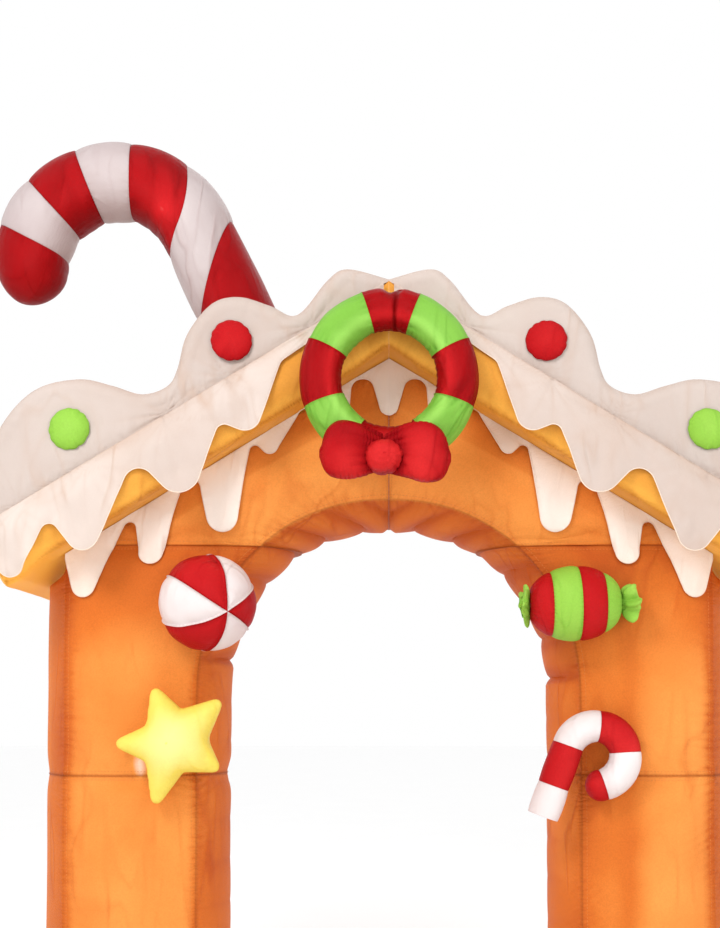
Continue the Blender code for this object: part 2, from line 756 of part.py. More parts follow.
def mint_gore_mesh(index):
    """One curved gore of the peppermint, from its middle line out to the ball's surface."""
    facing = MINT_FACING.normalized()
    across = facing.cross(Vector((0, 0, 1))).normalized()
    up = across.cross(facing)
    width = 2 * math.pi / MINT_GORES
    stations, steps = 12, 5
    rings = []
    for i in range(stations + 1):
        polar = math.pi * (MINT_POLE + (1 - 2 * MINT_POLE) * i / stations)
        along = MINT_RADIUS * math.cos(polar)
        reach = MINT_RADIUS * math.sin(polar)
        start = width * index + MINT_START + MINT_TWIST * math.sin(polar)
        middle = start + width / 2
        heart = Vector(MINT_CENTRE) + facing * along
        heart += (across * math.cos(middle) + up * math.sin(middle)) * TOUCH
        ring = [heart]
        inset = TOUCH / 2 / reach
        for j in range(steps + 1):
            turn = start + inset + (width - 2 * inset) * j / steps
            ring.append(
                Vector(MINT_CENTRE)
                + facing * along
                + (across * math.cos(turn) + up * math.sin(turn)) * reach
            )
        rings.append(ring)
    return mesh_of(loft(rings, turned=(steps + 1,)))


def sweet_place():
    return Matrix.Translation(SWEET_CENTRE) @ Matrix.Rotation(SWEET_TURN, 4, "Y")


def sweet_radius(along):
    """The wrapped sweet is barrel shaped and closes to a neck at each end."""
    share = min(1.0, abs(along) / SWEET_EDGES[-1])
    full = (1 - share ** SWEET_SHOULDER["square"]) ** SWEET_SHOULDER["round"]
    return SWEET_NECK + (SWEET_RADIUS - SWEET_NECK) * full


def sweet_stripe_mesh(start, stop):
    steps = 4
    points, radii = [], []
    for i in range(steps + 1):
        along = start + TOUCH / 2 + (stop - start - TOUCH) * i / steps
        points.append(Vector((along, 0, 0)))
        radii.append(sweet_radius(along))
    mesh = tube(points, radii, 16)
    mesh.transform(sweet_place())
    return mesh


def frill_mesh(side, end):
    """The gathered end of the wrapper, opening out in folds."""
    count = FRILL["folds"] * 4
    rings = []
    for row in FRILL_PROFILE:
        ring = []
        for i in range(count):
            turn = 2 * math.pi * i / count
            wave = 1 + FRILL["fold_depth"] * row["open"] * math.cos(FRILL["folds"] * turn)
            reach = (FRILL["neck"] + (FRILL["rim"] - FRILL["neck"]) * row["open"]) * wave
            x = FRILL["start"] + (end - FRILL["start"]) * row["along"]
            x += FRILL["sway"] * row["open"] * math.sin(2 * turn + 1.0)
            ring.append(Vector((side * x, reach * math.cos(turn), reach * math.sin(turn))))
        rings.append(ring)
    mesh = mesh_of(loft(rings))
    mesh.transform(sweet_place())
    return mesh


def star_outline():
    """Points round the star: five rounded tips with a notch between each two."""
    line = []
    for arm, after in zip(STAR_ARMS, STAR_ARMS[1:] + STAR_ARMS[:1]):
        middle = math.radians(arm["way"])
        for turn in (-70, -25, 25, 70):
            swing = middle + math.radians(turn)
            reach = arm["tip"] - STAR_TIP_ROUND
            x = reach * math.cos(middle) + STAR_TIP_ROUND * math.cos(swing)
            line.append((x, reach * math.sin(middle) + STAR_TIP_ROUND * math.sin(swing)))
        turn_on = (after["way"] - arm["way"]) % 360
        notch = middle + math.radians(turn_on / 2)
        line.append((arm["notch"] * math.cos(notch), arm["notch"] * math.sin(notch)))
    return line


def star_mesh():
    """A five pointed star of two panels sewn round the edge and filled."""
    line = star_outline()
    sides = [(layer, -1) for layer in reversed(STAR_LAYERS)] + [(layer, 1) for layer in STAR_LAYERS]
    rings = []
    for layer, face in sides:
        share, deep = layer["share"], face * layer["depth"]
        rings.append([Vector(STAR_CENTRE) + Vector((x * share, deep, z * share)) for x, z in line])
    return mesh_of(loft(rings))


# ---- the candy canes ----


def cane_point(cane, along, around, fatness):
    """A point on the cane's surface; around is 0 on the hook's outer side."""
    hook, side, radius = Vector(cane["hook"]), cane["side"], cane["hook_radius"]
    start, end = math.radians(cane["lean"]), math.radians(cane["hook_end"])
    turn = min(max(start + along / radius, start), end)
    beyond = along - (turn - start) * radius
    outwards = Vector((side * math.cos(turn), 0, math.sin(turn)))
    onwards = Vector((-side * math.sin(turn), 0, math.cos(turn)))
    push = outwards * math.cos(around) + Vector((0, 1, 0)) * math.sin(around)
    return hook + outwards * radius + onwards * beyond + push * cane["tube"] * fatness


def cane_length(cane):
    """The way from the top of the shaft to the tip."""
    return math.radians(cane["hook_end"] - cane["lean"]) * cane["hook_radius"] + cane["tip"]


def cane_stripe_mesh(cane, first, last):
    """One stripe, between two seams, drawn in at both; without a last seam it rounds off."""
    length = abs(last["outer"] + last["inner"] - first["outer"] - first["inner"]) / 2
    steps = max(3, round(length / cane["tube"] / CANE_STEP) + 1)
    at_tip = last["outer"] == cane_length(cane)
    rings = []
    for i in range(steps + 1):
        share = i / steps
        fatness = 1 - CANE_DRAW_IN * (1 - math.sin(math.pi * share) ** 0.5)
        if at_tip:
            share = 1 - (1 - share) ** CANE_TIP["crowding"]
            full = (1 - share**3) ** CANE_TIP["round"]
            fatness *= CANE_TIP["least"] + (1 - CANE_TIP["least"]) * full
        ring = []
        for j in range(CANE_SIDES):
            around = 2 * math.pi * j / CANE_SIDES
            lean = math.cos(around)
            start = (first["outer"] + first["inner"] + (first["outer"] - first["inner"]) * lean) / 2
            stop = (last["outer"] + last["inner"] + (last["outer"] - last["inner"]) * lean) / 2
            along = start + TOUCH + (stop - start - 2 * TOUCH) * share
            ring.append(cane_point(cane, along, around, fatness))
        rings.append(ring)
    return mesh_of(loft(rings))


def cane_pieces(name, cane, colours):
    """The cane's stripes, from the shaft's foot to the tip."""
    foot = {"outer": -cane["shaft"], "inner": -cane["shaft"]}
    tip = {"outer": cane_length(cane), "inner": cane_length(cane)}
    seams = (foot, *cane["seams"], tip)
    made = []
    for number, colour in enumerate(colours, start=1):
        mesh = cane_stripe_mesh(cane, seams[number - 1], seams[number])
        made.append(add_piece(f"{name}_stripe_{number}", mesh, colour))
    return made


# ---- the whole arch ----


def build_arch():
    walls, slabs = {}, {}
    for side_name, side in both_sides():
        walls[side_name] = wall_pieces(side_name, side)
        slabs[side_name] = slab_mesh(side)
        add_piece(f"roof_slab_{side_name}", slabs[side_name].copy(), "amber")
    slab_room = {name: add_cutter(f"slab_room_{name}", grown(slabs[name], TOUCH)) for name in slabs}
    wall_room = {
        name: add_cutter(f"wall_room_{name}", grown(walls[name], CLOTH + 2 * TOUCH)) for name in walls
    }
    front_room = {
        name: add_cutter(f"front_room_{name}", grown(slabs[name], CLOTH + 2 * TOUCH)) for name in slabs
    }

    for side_name, side in both_sides():
        fin = add_piece(f"icing_fin_{side_name}", fin_mesh(side), "white")
        cut(fin, slab_room[side_name])
        form = apron_form_mesh(side)
        name = f"icing_apron_{side_name}"
        cloth_on(name, apron_outline(), side, form, CLOTH_FRONT_Y["apron"])
        name = f"wall_icing_{side_name}"
        cloth_on(name, wall_icing_outline(), side, walls[side_name], CLOTH_FRONT_Y["wall"])
        for dot in FIN_DOTS:
            mesh = dot_mesh(dot["out"], dot["up"], side)
            add_piece(f"{dot['colour']}_dot_{side_name}", mesh, dot["colour"])

    for number, colour in enumerate(WREATH_COLOURS, start=1):
        mesh = wreath_length_mesh(WREATH_SEAMS[number - 1], WREATH_SEAMS[number])
        length = add_piece(f"wreath_{number}", mesh, colour)
        for side_name, _ in both_sides():
            cut(length, front_room[side_name])
    ring_room = add_cutter("wreath_room", wreath_room_mesh())
    knot_room = add_cutter("knot_room", bow_knot_mesh(TOUCH * 2))
    for side_name, side in both_sides():
        lobe = add_piece(f"bow_lobe_{side_name}", bow_lobe_mesh(side), "red")
        cut(lobe, ring_room)
        cut(lobe, knot_room)
    knot = add_piece("bow_knot", bow_knot_mesh(), "red")
    cut(knot, ring_room)

    for index in range(MINT_GORES):
        colour = "white" if index % 2 else "red"
        gore = add_piece(f"mint_gore_{index + 1}", mint_gore_mesh(index), colour)
        cut(gore, wall_room["left"])
    for number, colour in enumerate(SWEET_STRIPES, start=1):
        mesh = sweet_stripe_mesh(SWEET_EDGES[number - 1], SWEET_EDGES[number])
        cut(add_piece(f"sweet_stripe_{number}", mesh, colour), wall_room["right"])
    for side_name, side in both_sides():
        mesh = frill_mesh(side, FRILL_ENDS[side_name])
        cut(add_piece(f"sweet_frill_{side_name}", mesh, "green"), wall_room["right"])
    cut(add_piece("star", star_mesh(), "yellow"), wall_room["left"])

    small = cane_pieces("small_cane", SMALL_CANE, ("white", "red", "white", "red", "white", "red"))
    for stripe in small:
        cut(stripe, wall_room["right"])
    large = cane_pieces(
        "large_cane", LARGE_CANE, ("red", "white", "red", "white", "red", "white", "red")
    )
    cut(large[0], slab_room["left"])


build_arch()
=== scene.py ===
import math

import bmesh
import bpy
import numpy as np
from mathutils import Matrix, Vector
from mathutils.bvhtree import BVHTree


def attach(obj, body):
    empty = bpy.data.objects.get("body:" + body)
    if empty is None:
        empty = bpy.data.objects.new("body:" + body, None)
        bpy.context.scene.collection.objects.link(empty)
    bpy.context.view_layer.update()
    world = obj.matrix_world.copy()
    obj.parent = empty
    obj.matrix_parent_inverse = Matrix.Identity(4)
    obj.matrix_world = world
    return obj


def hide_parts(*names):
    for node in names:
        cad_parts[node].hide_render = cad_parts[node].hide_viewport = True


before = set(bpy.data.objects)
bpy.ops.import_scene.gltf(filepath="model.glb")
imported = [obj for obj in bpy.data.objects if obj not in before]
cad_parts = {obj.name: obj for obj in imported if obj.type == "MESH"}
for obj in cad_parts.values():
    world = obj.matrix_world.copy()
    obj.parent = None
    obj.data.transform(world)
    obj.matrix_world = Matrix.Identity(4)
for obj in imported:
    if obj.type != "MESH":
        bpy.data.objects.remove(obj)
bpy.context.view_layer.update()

# An inflatable archway shaped like the front of a gingerbread house. Every piece is sewn nylon
# filled with air, apart from the dripping icing, which is flat cloth. Metres, +Z up.

print("frame loaded:", len(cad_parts), "nodes")

wallPlace = np.array((0.038, 0.114, 0.0))  # where the middle of the wall stands
touchGap = 0.0003  # air between pieces that touch
backGap = 0.003  # air behind a piece that is sewn onto another
sides = (("left", -1), ("right", 1))
sewnCloth = {
    "rise": 0.006,  # how far from its thread the cloth starts to swell
    "hubRise": 0.012,  # the same where creases spread from one place
    "hubCreases": 13,  # how many spread from there
    "deepTuck": 0.012,  # a tuck this deep gets dark painted shade
    "mark": 0.006,  # how far from a seam its puckers show
}


# Small helpers for numbers.

def unit(values):
    return np.clip(values, 0, 1)


def fade(distance, reach):
    # 1 at a seam, less and less away from it
    return np.exp(-distance / reach)


def bell(distance, reach):
    # 1 at a place, almost 0 from twice the reach on
    return np.exp(-((distance / reach) ** 2))


def fullTurn(count):
    return np.linspace(0, 2 * math.pi, count, endpoint=False)[None, :]


def wander(x, seed):
    # smooth seeded noise along a line, from -1 to 1
    cell = np.floor(x)
    part = x - cell
    part = part * part * (3 - 2 * part)

    def pick(n):
        return 2 * np.modf(np.abs(np.sin(n * 12.9898 + seed * 78.233) * 43758.5453))[0] - 1

    return pick(cell) * (1 - part) + pick(cell + 1) * part


def folds(a, b, spacing, seed):
    # soft folds over a surface with coordinates a and b, from about -1 to 1
    total = 0.0
    for i, turn in enumerate((0.4, 1.3, 2.3, 2.9)):
        along = (a * math.cos(turn) + b * math.sin(turn)) / spacing
        total = total + wander(along * (1 + 0.3 * i) + 7.3 * i, seed + 11 * i)
    return total / 2.2


def slack(a, b, spacing, depth, seed):
    # how far soft folds sink below the fullest places
    return depth * (1 + folds(a, b, spacing, seed))


def creases(along, spacing, seed):
    # 1 in the sharp valleys between gathers, 0 on their round tops
    walk = along / spacing + 0.7 * wander(along / spacing / 2.5, seed)
    valley = 1 - np.abs(np.sin(math.pi * walk)) ** 0.55
    return valley * (0.65 + 0.35 * wander(along / spacing / 1.7, seed + 5))


def gather(away, along, seed, spacing, depth, reach):
    # how far the thread pulls the cloth in, "away" from a seam and "along" it
    here = reach * (0.75 + 0.5 * wander(along / spacing / 2, seed + 9))
    shape = (1 - fade(away, sewnCloth["rise"])) * fade(away, here)
    skew = along + 0.5 * away * wander(along / spacing / 6, seed + 3)
    return depth * shape * creases(skew, spacing, seed)


def fans(out, up, hubs, seed, reach=0.13):
    # creases that spread from places where the sewing pulls
    total = 0.0
    for i, (x, z) in enumerate(hubs):
        far = np.hypot(out - x, up - z)
        turn = np.arctan2(up - z, out - x) / (2 * math.pi)
        near = fade(far, reach) * (1 - fade(far, sewnCloth["hubRise"]))
        total = total + creases(turn, 1 / sewnCloth["hubCreases"], seed + i) * near
    return total


def bunched(count, amount=0.6):
    # shares from 0 to 1 that lie closer together at both ends
    share = np.linspace(0, 1, count)
    return share - amount * np.sin(2 * math.pi * share) / (2 * math.pi)


def runLength(points, axis):
    # the way along a grid of points
    steps = np.linalg.norm(np.diff(points, axis=axis), axis=-1)
    start = np.zeros_like(np.take(steps, [0], axis=axis))
    return np.concatenate([start, np.cumsum(steps, axis=axis)], axis=axis)


def roundLength(points):
    # the way round each ring; one column more than the ring has, for the whole way
    return runLength(np.concatenate([points, points[:, :1]], axis=1), 1)


def nearestSeam(around, along, seams):
    # each point's distance to the nearest lengthwise seam, that seam's column, the way along it
    gaps = np.abs(around[:, :-1, None] - around[:, None, seams])
    nearest = np.array(seams)[np.argmin(gaps, -1)] % (around.shape[1] - 1)
    return gaps.min(-1), nearest, np.take_along_axis(along, nearest, 1)


# Lines of points.

def smoothThrough(rows, steps):
    points = [np.array(row) for row in rows]
    ends = [points[0]] + points + [points[-1]]
    line = []
    for before, start, stop, after in zip(ends, ends[1:], ends[2:], ends[3:]):
        for i in range(steps):
            t = i / steps
            line.append(0.5 * (2 * start + (stop - before) * t
                               + (2 * before - 5 * start + 4 * stop - after) * t ** 2
                               + (3 * start - before - 3 * stop + after) * t ** 3))
    return np.array(line + [points[-1]])


def evenly(line, count):
    # the same line with points at equal ways along it
    way = runLength(line, 0)
    at = np.linspace(0, way[-1], count)
    return np.stack([np.interp(at, way, line[:, i]) for i in range(line.shape[1])], 1)


def distanceTo(line, points):
    # from each (out, up) point to a line, and how far along the line that is
    places = points.reshape(-1, 2)
    nearest, way = np.full(len(places), 9.0), np.zeros(len(places))
    for start, span, run in zip(line, np.diff(line, axis=0), runLength(line, 0)):
        size = (span ** 2).sum()
        t = unit(((places - start) @ span) / max(size, 1e-9))
        gap = np.linalg.norm(places - start - t[:, None] * span, axis=1)
        closer = gap < nearest
        nearest = np.where(closer, gap, nearest)
        way = np.where(closer, run + t * math.sqrt(size), way)
    return nearest.reshape(points.shape[:-1]), way.reshape(points.shape[:-1])


# Meshes from grids of points: rows run along a piece, columns round it.

def addMark(mesh, name, values):
    # a value at each point that the materials read
    mesh.attributes.new(name, "FLOAT", "POINT").data.foreach_set("value", values)


def perPoint(mesh, name):
    values = np.empty(len(mesh.vertices) * 3, np.float32)
    mesh.vertices.foreach_get(name, values)
    return values.reshape(-1, 3)


def placesOf(mesh):
    return perPoint(mesh, "co").astype(float)


def setPlaces(mesh, places):
    mesh.vertices.foreach_set("co", np.asarray(places, np.float32).ravel())
    mesh.update()


def faceOut(mesh):
    shape = bmesh.new()
    shape.from_mesh(mesh)
    bmesh.ops.recalc_face_normals(shape, faces=shape.faces)
    shape.to_mesh(mesh)
    shape.free()
    return mesh


def gridMesh(points, along, around, marks):
    # closed rings with a cap at both ends; along and around lay the weave
    rows, columns = points.shape[:2]
    r, c = np.arange(rows - 1)[:, None], np.arange(columns)[None, :]
    steps = ((0, 0), (0, 1), (1, 1), (1, 0))
    quads = np.stack([(r + i) * columns + (c + j) % columns for i, j in steps], -1)
    corners = np.stack([np.stack([around[r + i, c + j], along[r + i, (c + j) % columns]], -1)
                        for i, j in steps], -2)
    verts, faces, capCorners = points.reshape(-1, 3), quads.reshape(-1, 4).tolist(), []
    for row, start in ((points[0], 0), (points[-1], (rows - 1) * columns)):
        hub = len(verts)
        verts = np.concatenate([verts, row.mean(axis=0)[None]])
        for i in range(columns):
            trio = (hub, start + i, start + (i + 1) % columns)
            faces.append(trio)
            capCorners += [(verts[j][0] + verts[j][1], verts[j][2]) for j in trio]
    mesh = bpy.data.meshes.new("cloth")
    mesh.from_pydata(verts.tolist(), [], faces)
    flat = np.concatenate([corners.reshape(-1, 2), np.array(capCorners)])
    mesh.uv_layers.new(name="weave").data.foreach_set("uv", flat.astype(np.float32).ravel())
    for name, values in marks.items():
        filled = np.zeros(len(verts), np.float32)
        filled[:rows * columns] = np.broadcast_to(values, (rows, columns)).ravel()
        addMark(mesh, name, filled)
    return faceOut(mesh)


def ringMesh(points, marks):
    # rings given from the middle of the wall
    return gridMesh(points + wallPlace, runLength(points, 0), roundLength(points), marks)


def pulledIn(mesh, amounts):
    # moves the grid's points inwards by their amounts, with more painted shade the deeper they sink
    filled = np.zeros(len(mesh.vertices))
    filled[:amounts.size] = amounts.ravel()
    setPlaces(mesh, placesOf(mesh) - perPoint(mesh, "normal") * filled[:, None])
    addMark(mesh, "tuck", unit(filled / sewnCloth["deepTuck"] - 0.25).astype(np.float32))
    return mesh


def treeOf(*meshes):
    # what rays meet when a piece is set against these meshes
    verts, faces = [], []
    for mesh in meshes:
        first = len(verts)
        verts += [v.co.copy() for v in mesh.vertices]
        faces += [[first + i for i in face.vertices] for face in mesh.polygons]
    return BVHTree.FromPolygons(verts, faces)


def restAgainst(mesh, tree):
    # flattens the back of a piece where it is sewn to what carries it
    places = placesOf(mesh)
    back = Vector((0, 1, 0))
    for i, place in enumerate(places):
        hit = tree.ray_cast(Vector(place) - back * 3.0, back)[0]
        if hit is not None and (Vector(place) - hit).dot(back) > -backGap:
            places[i] = hit - back * backGap
    setPlaces(mesh, places)
    return mesh


# Materials. Value wraps a socket, so that maths on a surface reads as Python.

class Value:
    def __init__(self, tree, socket):
        self.tree, self.socket = tree, socket

    def maths(self, operation, *others, clamp=False):
        made = self.tree.nodes.new("ShaderNodeMath")
        made.operation, made.use_clamp = operation, clamp
        for slot, value in zip(made.inputs, (self, *others)):
            feed(self.tree, slot, value)
        return Value(self.tree, made.outputs[0])

    def __add__(self, other):
        return self.maths("ADD", other)

    def __sub__(self, other):
        return self.maths("SUBTRACT", other)

    def __rsub__(self, other):
        return self.maths("MULTIPLY_ADD", -1.0, other)

    def __mul__(self, other):
        return self.maths("MULTIPLY", other)

    def __pow__(self, other):
        return self.maths("POWER", other)

    def __abs__(self):
        return self.maths("ABSOLUTE")

    __radd__, __rmul__ = __add__, __mul__

    def sine(self):
        return self.maths("SINE")

    def held(self):
        return self.maths("ADD", 0.0, clamp=True)


def feed(tree, slot, value):
    if isinstance(value, Value):
        tree.links.new(value.socket, slot)
    else:
        slot.default_value = value


class Finish:
    def __init__(self, name):
        self.material = bpy.data.materials.new(name)
        self.material.use_nodes = True
        self.tree = self.material.node_tree
        self.shader = self.tree.nodes["Principled BSDF"]

    def node(self, kind, settings, sockets, output=0):
        made = self.tree.nodes.new(kind)
        for name, value in settings.items():
            if name == "stops":
                ramp = made.color_ramp
                while len(ramp.elements) < len(value):
                    ramp.elements.new(0.5)
                for element, (at, colour) in zip(ramp.elements, value):
                    element.position, element.color = at, (*colour, 1.0)
            else:
                setattr(made, name, value)
        for slot, value in sockets.items():
            feed(self.tree, made.inputs[slot], value)
        return Value(self.tree, made.outputs[output])

    def noise(self, where, scale, detail, **sockets):
        return self.node("ShaderNodeTexNoise", {},
                         {"Vector": where, "Scale": scale, "Detail": detail, **sockets})

    def objectPlace(self):
        return self.node("ShaderNodeTexCoord", {}, {}, "Object")

    def mixed(self, share, first, second, blend="MIX"):
        colours = [c if isinstance(c, Value) else (*c, 1.0) for c in (first, second)]
        return self.node("ShaderNodeMix", {"data_type": "RGBA", "blend_type": blend},
                         {0: share, 6: colours[0], 7: colours[1]}, 2)

    def mark(self, name):
        return self.node("ShaderNodeAttribute", {"attribute_name": name}, {}, "Fac")

    def bump(self, height, strength, distance):
        return self.node("ShaderNodeBump", {}, {"Strength": strength, "Distance": distance,
                                                "Height": height})

    def wire(self, **sockets):
        for name, value in sockets.items():
            feed(self.tree, self.shader.inputs[name.replace("_", " ")], value)
        return self.material


clothLooks = {
    # body: the cloth in plain light; shade: its painted shade in folds and seams; lit: its
    # painted light, as if from inside; glow: that painted light's colour, light: how strong it is;
    # shine: how rough; gloss: how much it mirrors; grain, crease and rim: how much the weave, the
    # painted shade in creases and the painted shade where the cloth turns away darken
    "orange": {
        "body": (0.75, 0.195, 0.025), "shade": (0.53, 0.095, 0.012), "lit": (0.92, 0.37, 0.085),
        "glow": (1.0, 0.28, 0.02), "grain": 0.26, "shine": 0.5, "gloss": 0.12},
    "amber": {
        "body": (0.74, 0.30, 0.035), "shade": (0.50, 0.15, 0.014), "lit": (0.90, 0.47, 0.08),
        "glow": (1.0, 0.47, 0.04), "grain": 0.2, "shine": 0.5, "light": 0.2, "gloss": 0.2},
    "white": {
        "body": (0.61, 0.505, 0.45), "shade": (0.54, 0.38, 0.295), "lit": (0.72, 0.63, 0.575),
        "glow": (1.0, 0.80, 0.62), "crease": 0.38, "grain": 0.04, "shine": 0.55, "gloss": 0.2},
    "candyWhite": {
        "body": (0.75, 0.67, 0.655), "shade": (0.60, 0.44, 0.42), "lit": (0.88, 0.83, 0.82),
        "glow": (1.0, 0.85, 0.8), "grain": 0.04, "shine": 0.45, "rim": 0.4, "gloss": 0.2},
    "caneWhite": {
        "body": (0.48, 0.40, 0.395), "shade": (0.40, 0.28, 0.27), "lit": (0.68, 0.61, 0.60),
        "glow": (1.0, 0.85, 0.8), "grain": 0.04, "shine": 0.42, "rim": 0.4, "gloss": 0.25},
    "red": {
        "body": (0.48, 0.007, 0.010), "shade": (0.28, 0.001, 0.004), "lit": (0.64, 0.026, 0.027),
        "glow": (1.0, 0.03, 0.02), "grain": 0.25, "shine": 0.42, "rim": 0.55, "gloss": 0.06},
    "deepRed": {
        "body": (0.31, 0.001, 0.003), "shade": (0.19, 0.001, 0.002), "lit": (0.54, 0.012, 0.016),
        "glow": (1.0, 0.03, 0.02), "grain": 0.25, "shine": 0.36, "rim": 0.55, "gloss": 0.06},
    "green": {
        "body": (0.27, 0.54, 0.055), "shade": (0.15, 0.37, 0.03), "lit": (0.40, 0.68, 0.12),
        "glow": (0.5, 1.0, 0.12), "grain": 0.18, "shine": 0.5, "gloss": 0.15},
    # the green with painted shade, for the wreath
    "shadedGreen": {
        "body": (0.195, 0.455, 0.05), "shade": (0.11, 0.32, 0.025), "lit": (0.33, 0.65, 0.12),
        "glow": (0.5, 1.0, 0.12), "grain": 0.12, "shine": 0.45, "gloss": 0.15},
    "yellow": {
        "body": (0.89, 0.74, 0.13), "shade": (0.84, 0.58, 0.03), "lit": (0.93, 0.84, 0.38),
        "glow": (1.0, 0.85, 0.25), "grain": 0.10, "light": 0.05, "shine": 0.5, "gloss": 0.2},
}
# the white with painted shade for the standing icing, and with painted light for the icing on the
# wall
clothLooks["shadedFinWhite"] = {**clothLooks["white"], "body": (0.53, 0.44, 0.395),
                          "lit": (0.66, 0.57, 0.52)}
clothLooks["litIcingWhite"] = {**clothLooks["white"], "body": (0.68, 0.57, 0.51),
                            "lit": (0.80, 0.71, 0.65), "light": 0.2}
weave = {
    "thread": 0.0022, "grain": 150.0, "blotch": 3.0, "loose": 22.0, "pucker": 0.016, "crease": 5.5,
    "creaseTurns": ((0.65, 1.0), (-0.75, 4.0)),  # each set's direction, and where its noise starts
    # the colour painted where the painted glow is strongest, as a hot spot
    "paintedHotSpotColour": (1.0, 0.84, 0.72), "speckStops": ((0.3, (0.55, 0.5, 0.48)), (0.62, (1, 1, 1))),
    "bump": (0.5, 0.006), "sheen": (0.015, 0.4),
}


def creased(cloth, where, turn, offset):
    # long thin creases in one direction
    laid = cloth.node("ShaderNodeMapping", {}, {
        "Vector": where, "Location": (offset, offset, offset), "Rotation": (0.0, turn, 0.0),
        "Scale": (1.0, 1.0, 0.3)})
    drift = cloth.noise(laid, weave["crease"], 1.5, Distortion=0.4)
    return (1 - abs((drift - 0.5) * 24.0)).held()


def nylon(name, look):
    # woven nylon: fine threads, a slight mottle, puckers along its seams, painted shade in its
    # folds and seams, and painted light as if from inside
    cloth = Finish(f"{name}_nylon_cloth")
    where = cloth.objectPlace()
    flat = cloth.node("ShaderNodeUVMap", {"uv_map": "weave"}, {})
    across, down = (cloth.node("ShaderNodeSeparateXYZ", {}, {0: flat}, axis) for axis in "XY")
    seam, along, glow = cloth.mark("seam"), cloth.mark("along"), cloth.mark("glow")
    turn = 2 * math.pi / weave["thread"]
    threads = (across * turn).sine() * (down * turn).sine()
    grain = cloth.noise(where, weave["grain"], 3.0, Roughness=0.65)
    blotch = cloth.noise(where, weave["blotch"], 3.0, Roughness=0.5)
    loose = cloth.noise(where, weave["loose"], 2.0)
    slackness = ((blotch - 0.42) * 5.0).held()
    first, second = (creased(cloth, where, *turned) for turned in weave["creaseTurns"])
    lines = (first + second) * slackness
    tucks = abs((along * (math.pi / weave["pucker"]) + loose * 9.0).sine()) ** 0.6
    valley = (1 - tucks) * (seam ** 0.8)
    # painted shade where the cloth turns away from the front
    turned = cloth.mark("rim") * look.get("rim", 0.25)
    # painted shade from the marks, in tucks, creases, seams and their pucker valleys and where the
    # cloth turns away, with a random mottle of the cloth's own tone
    shaded = (cloth.mark("dark") + cloth.mark("tuck") * 0.8 + turned + seam * 0.3 + valley * 0.2
              + (0.5 - blotch) * 0.5 + lines * look.get("crease", 0.3)).held()
    colour = cloth.mixed(shaded, look["body"], look["shade"])
    # painted light where the cloth is marked to glow, less where it has painted shade
    shown = (glow + (blotch - 0.5) * 0.6 - shaded * 0.55).held()
    colour = cloth.mixed(shown, colour, look["lit"])
    # a painted hot spot where the glow goes past one
    colour = cloth.mixed((glow - 1.0).held(), colour, weave["paintedHotSpotColour"])
    seamColour = tuple(c * 0.4 for c in look["shade"])
    colour = cloth.mixed(cloth.mark("line") * 0.55, colour, seamColour)
    speck = cloth.node("ShaderNodeValToRGB", {"stops": weave["speckStops"]}, {"Fac": grain})
    colour = cloth.mixed(look["grain"], colour, speck, "MULTIPLY")
    height = threads * 0.08 + grain * 0.12 + tucks * seam * 1.5 + loose * 0.3 + lines * 1.3
    # the painted glow also shines out as emission
    light = cloth.mixed(glow.held(), (0.0, 0.0, 0.0), look["glow"])
    sheen, sheenRoughness = weave["sheen"]
    return cloth.wire(
        Base_Color=colour, Roughness=look["shine"] + (grain - 0.5) * 0.15,
        Normal=cloth.bump(height, *weave["bump"]), Emission_Color=light,
        Emission_Strength=look.get("light", 0.10), Specular_IOR_Level=look["gloss"],
        Sheen_Weight=sheen, Sheen_Roughness=sheenRoughness, Sheen_Tint=(*look["lit"], 1.0))


def threadFinish(name, colour, glow=0.0, ply=900.0):
    # spun thread: painted shade between its plies, and a painted glow of the given strength
    thread = Finish(name)
    plies = thread.noise(thread.objectPlace(), ply, 2.0)
    dark = tuple(c * 0.6 for c in colour)
    return thread.wire(
        Base_Color=thread.mixed(plies, dark, colour), Roughness=0.6 + plies * 0.2,
        Normal=thread.bump(plies, 0.4, 0.0006), Emission_Color=(*colour, 1.0),
        Emission_Strength=glow)


finishes = {name: nylon(name, look) for name, look in clothLooks.items()}
# the binding has a faint painted glow
finishes["binding"] = threadFinish("peach_edge_binding", (0.93, 0.77, 0.63), 0.06)
finishes["orange_thread"] = threadFinish("orange_seam_thread", (0.82, 0.27, 0.05))
print("materials made:", len(finishes))


def linked(name, data):
    made = bpy.data.objects.new(name, data)
    bpy.context.scene.collection.objects.link(made)
    return made


def addPiece(name, mesh, finish, sharp=55, solid=True):
    # a piece that stands for the solid of that name, or else one that is only sewn on;
    # its cloth gets painted shade where it turns away from the front
    addMark(mesh, "rim", (1 - np.abs(perPoint(mesh, "normal")[:, 1])) ** 1.5)
    mesh.materials.clear()
    mesh.materials.append(finishes[finish])
    mesh.shade_smooth()
    mesh.set_sharp_from_angle(angle=math.radians(sharp))
    piece = linked(f"{name}_cloth" if solid else name, mesh)
    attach(piece, "root")
    if solid:
        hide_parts(name)
    return piece


# The wall: a front, a back and two gussets, sewn along four edges and across the legs.

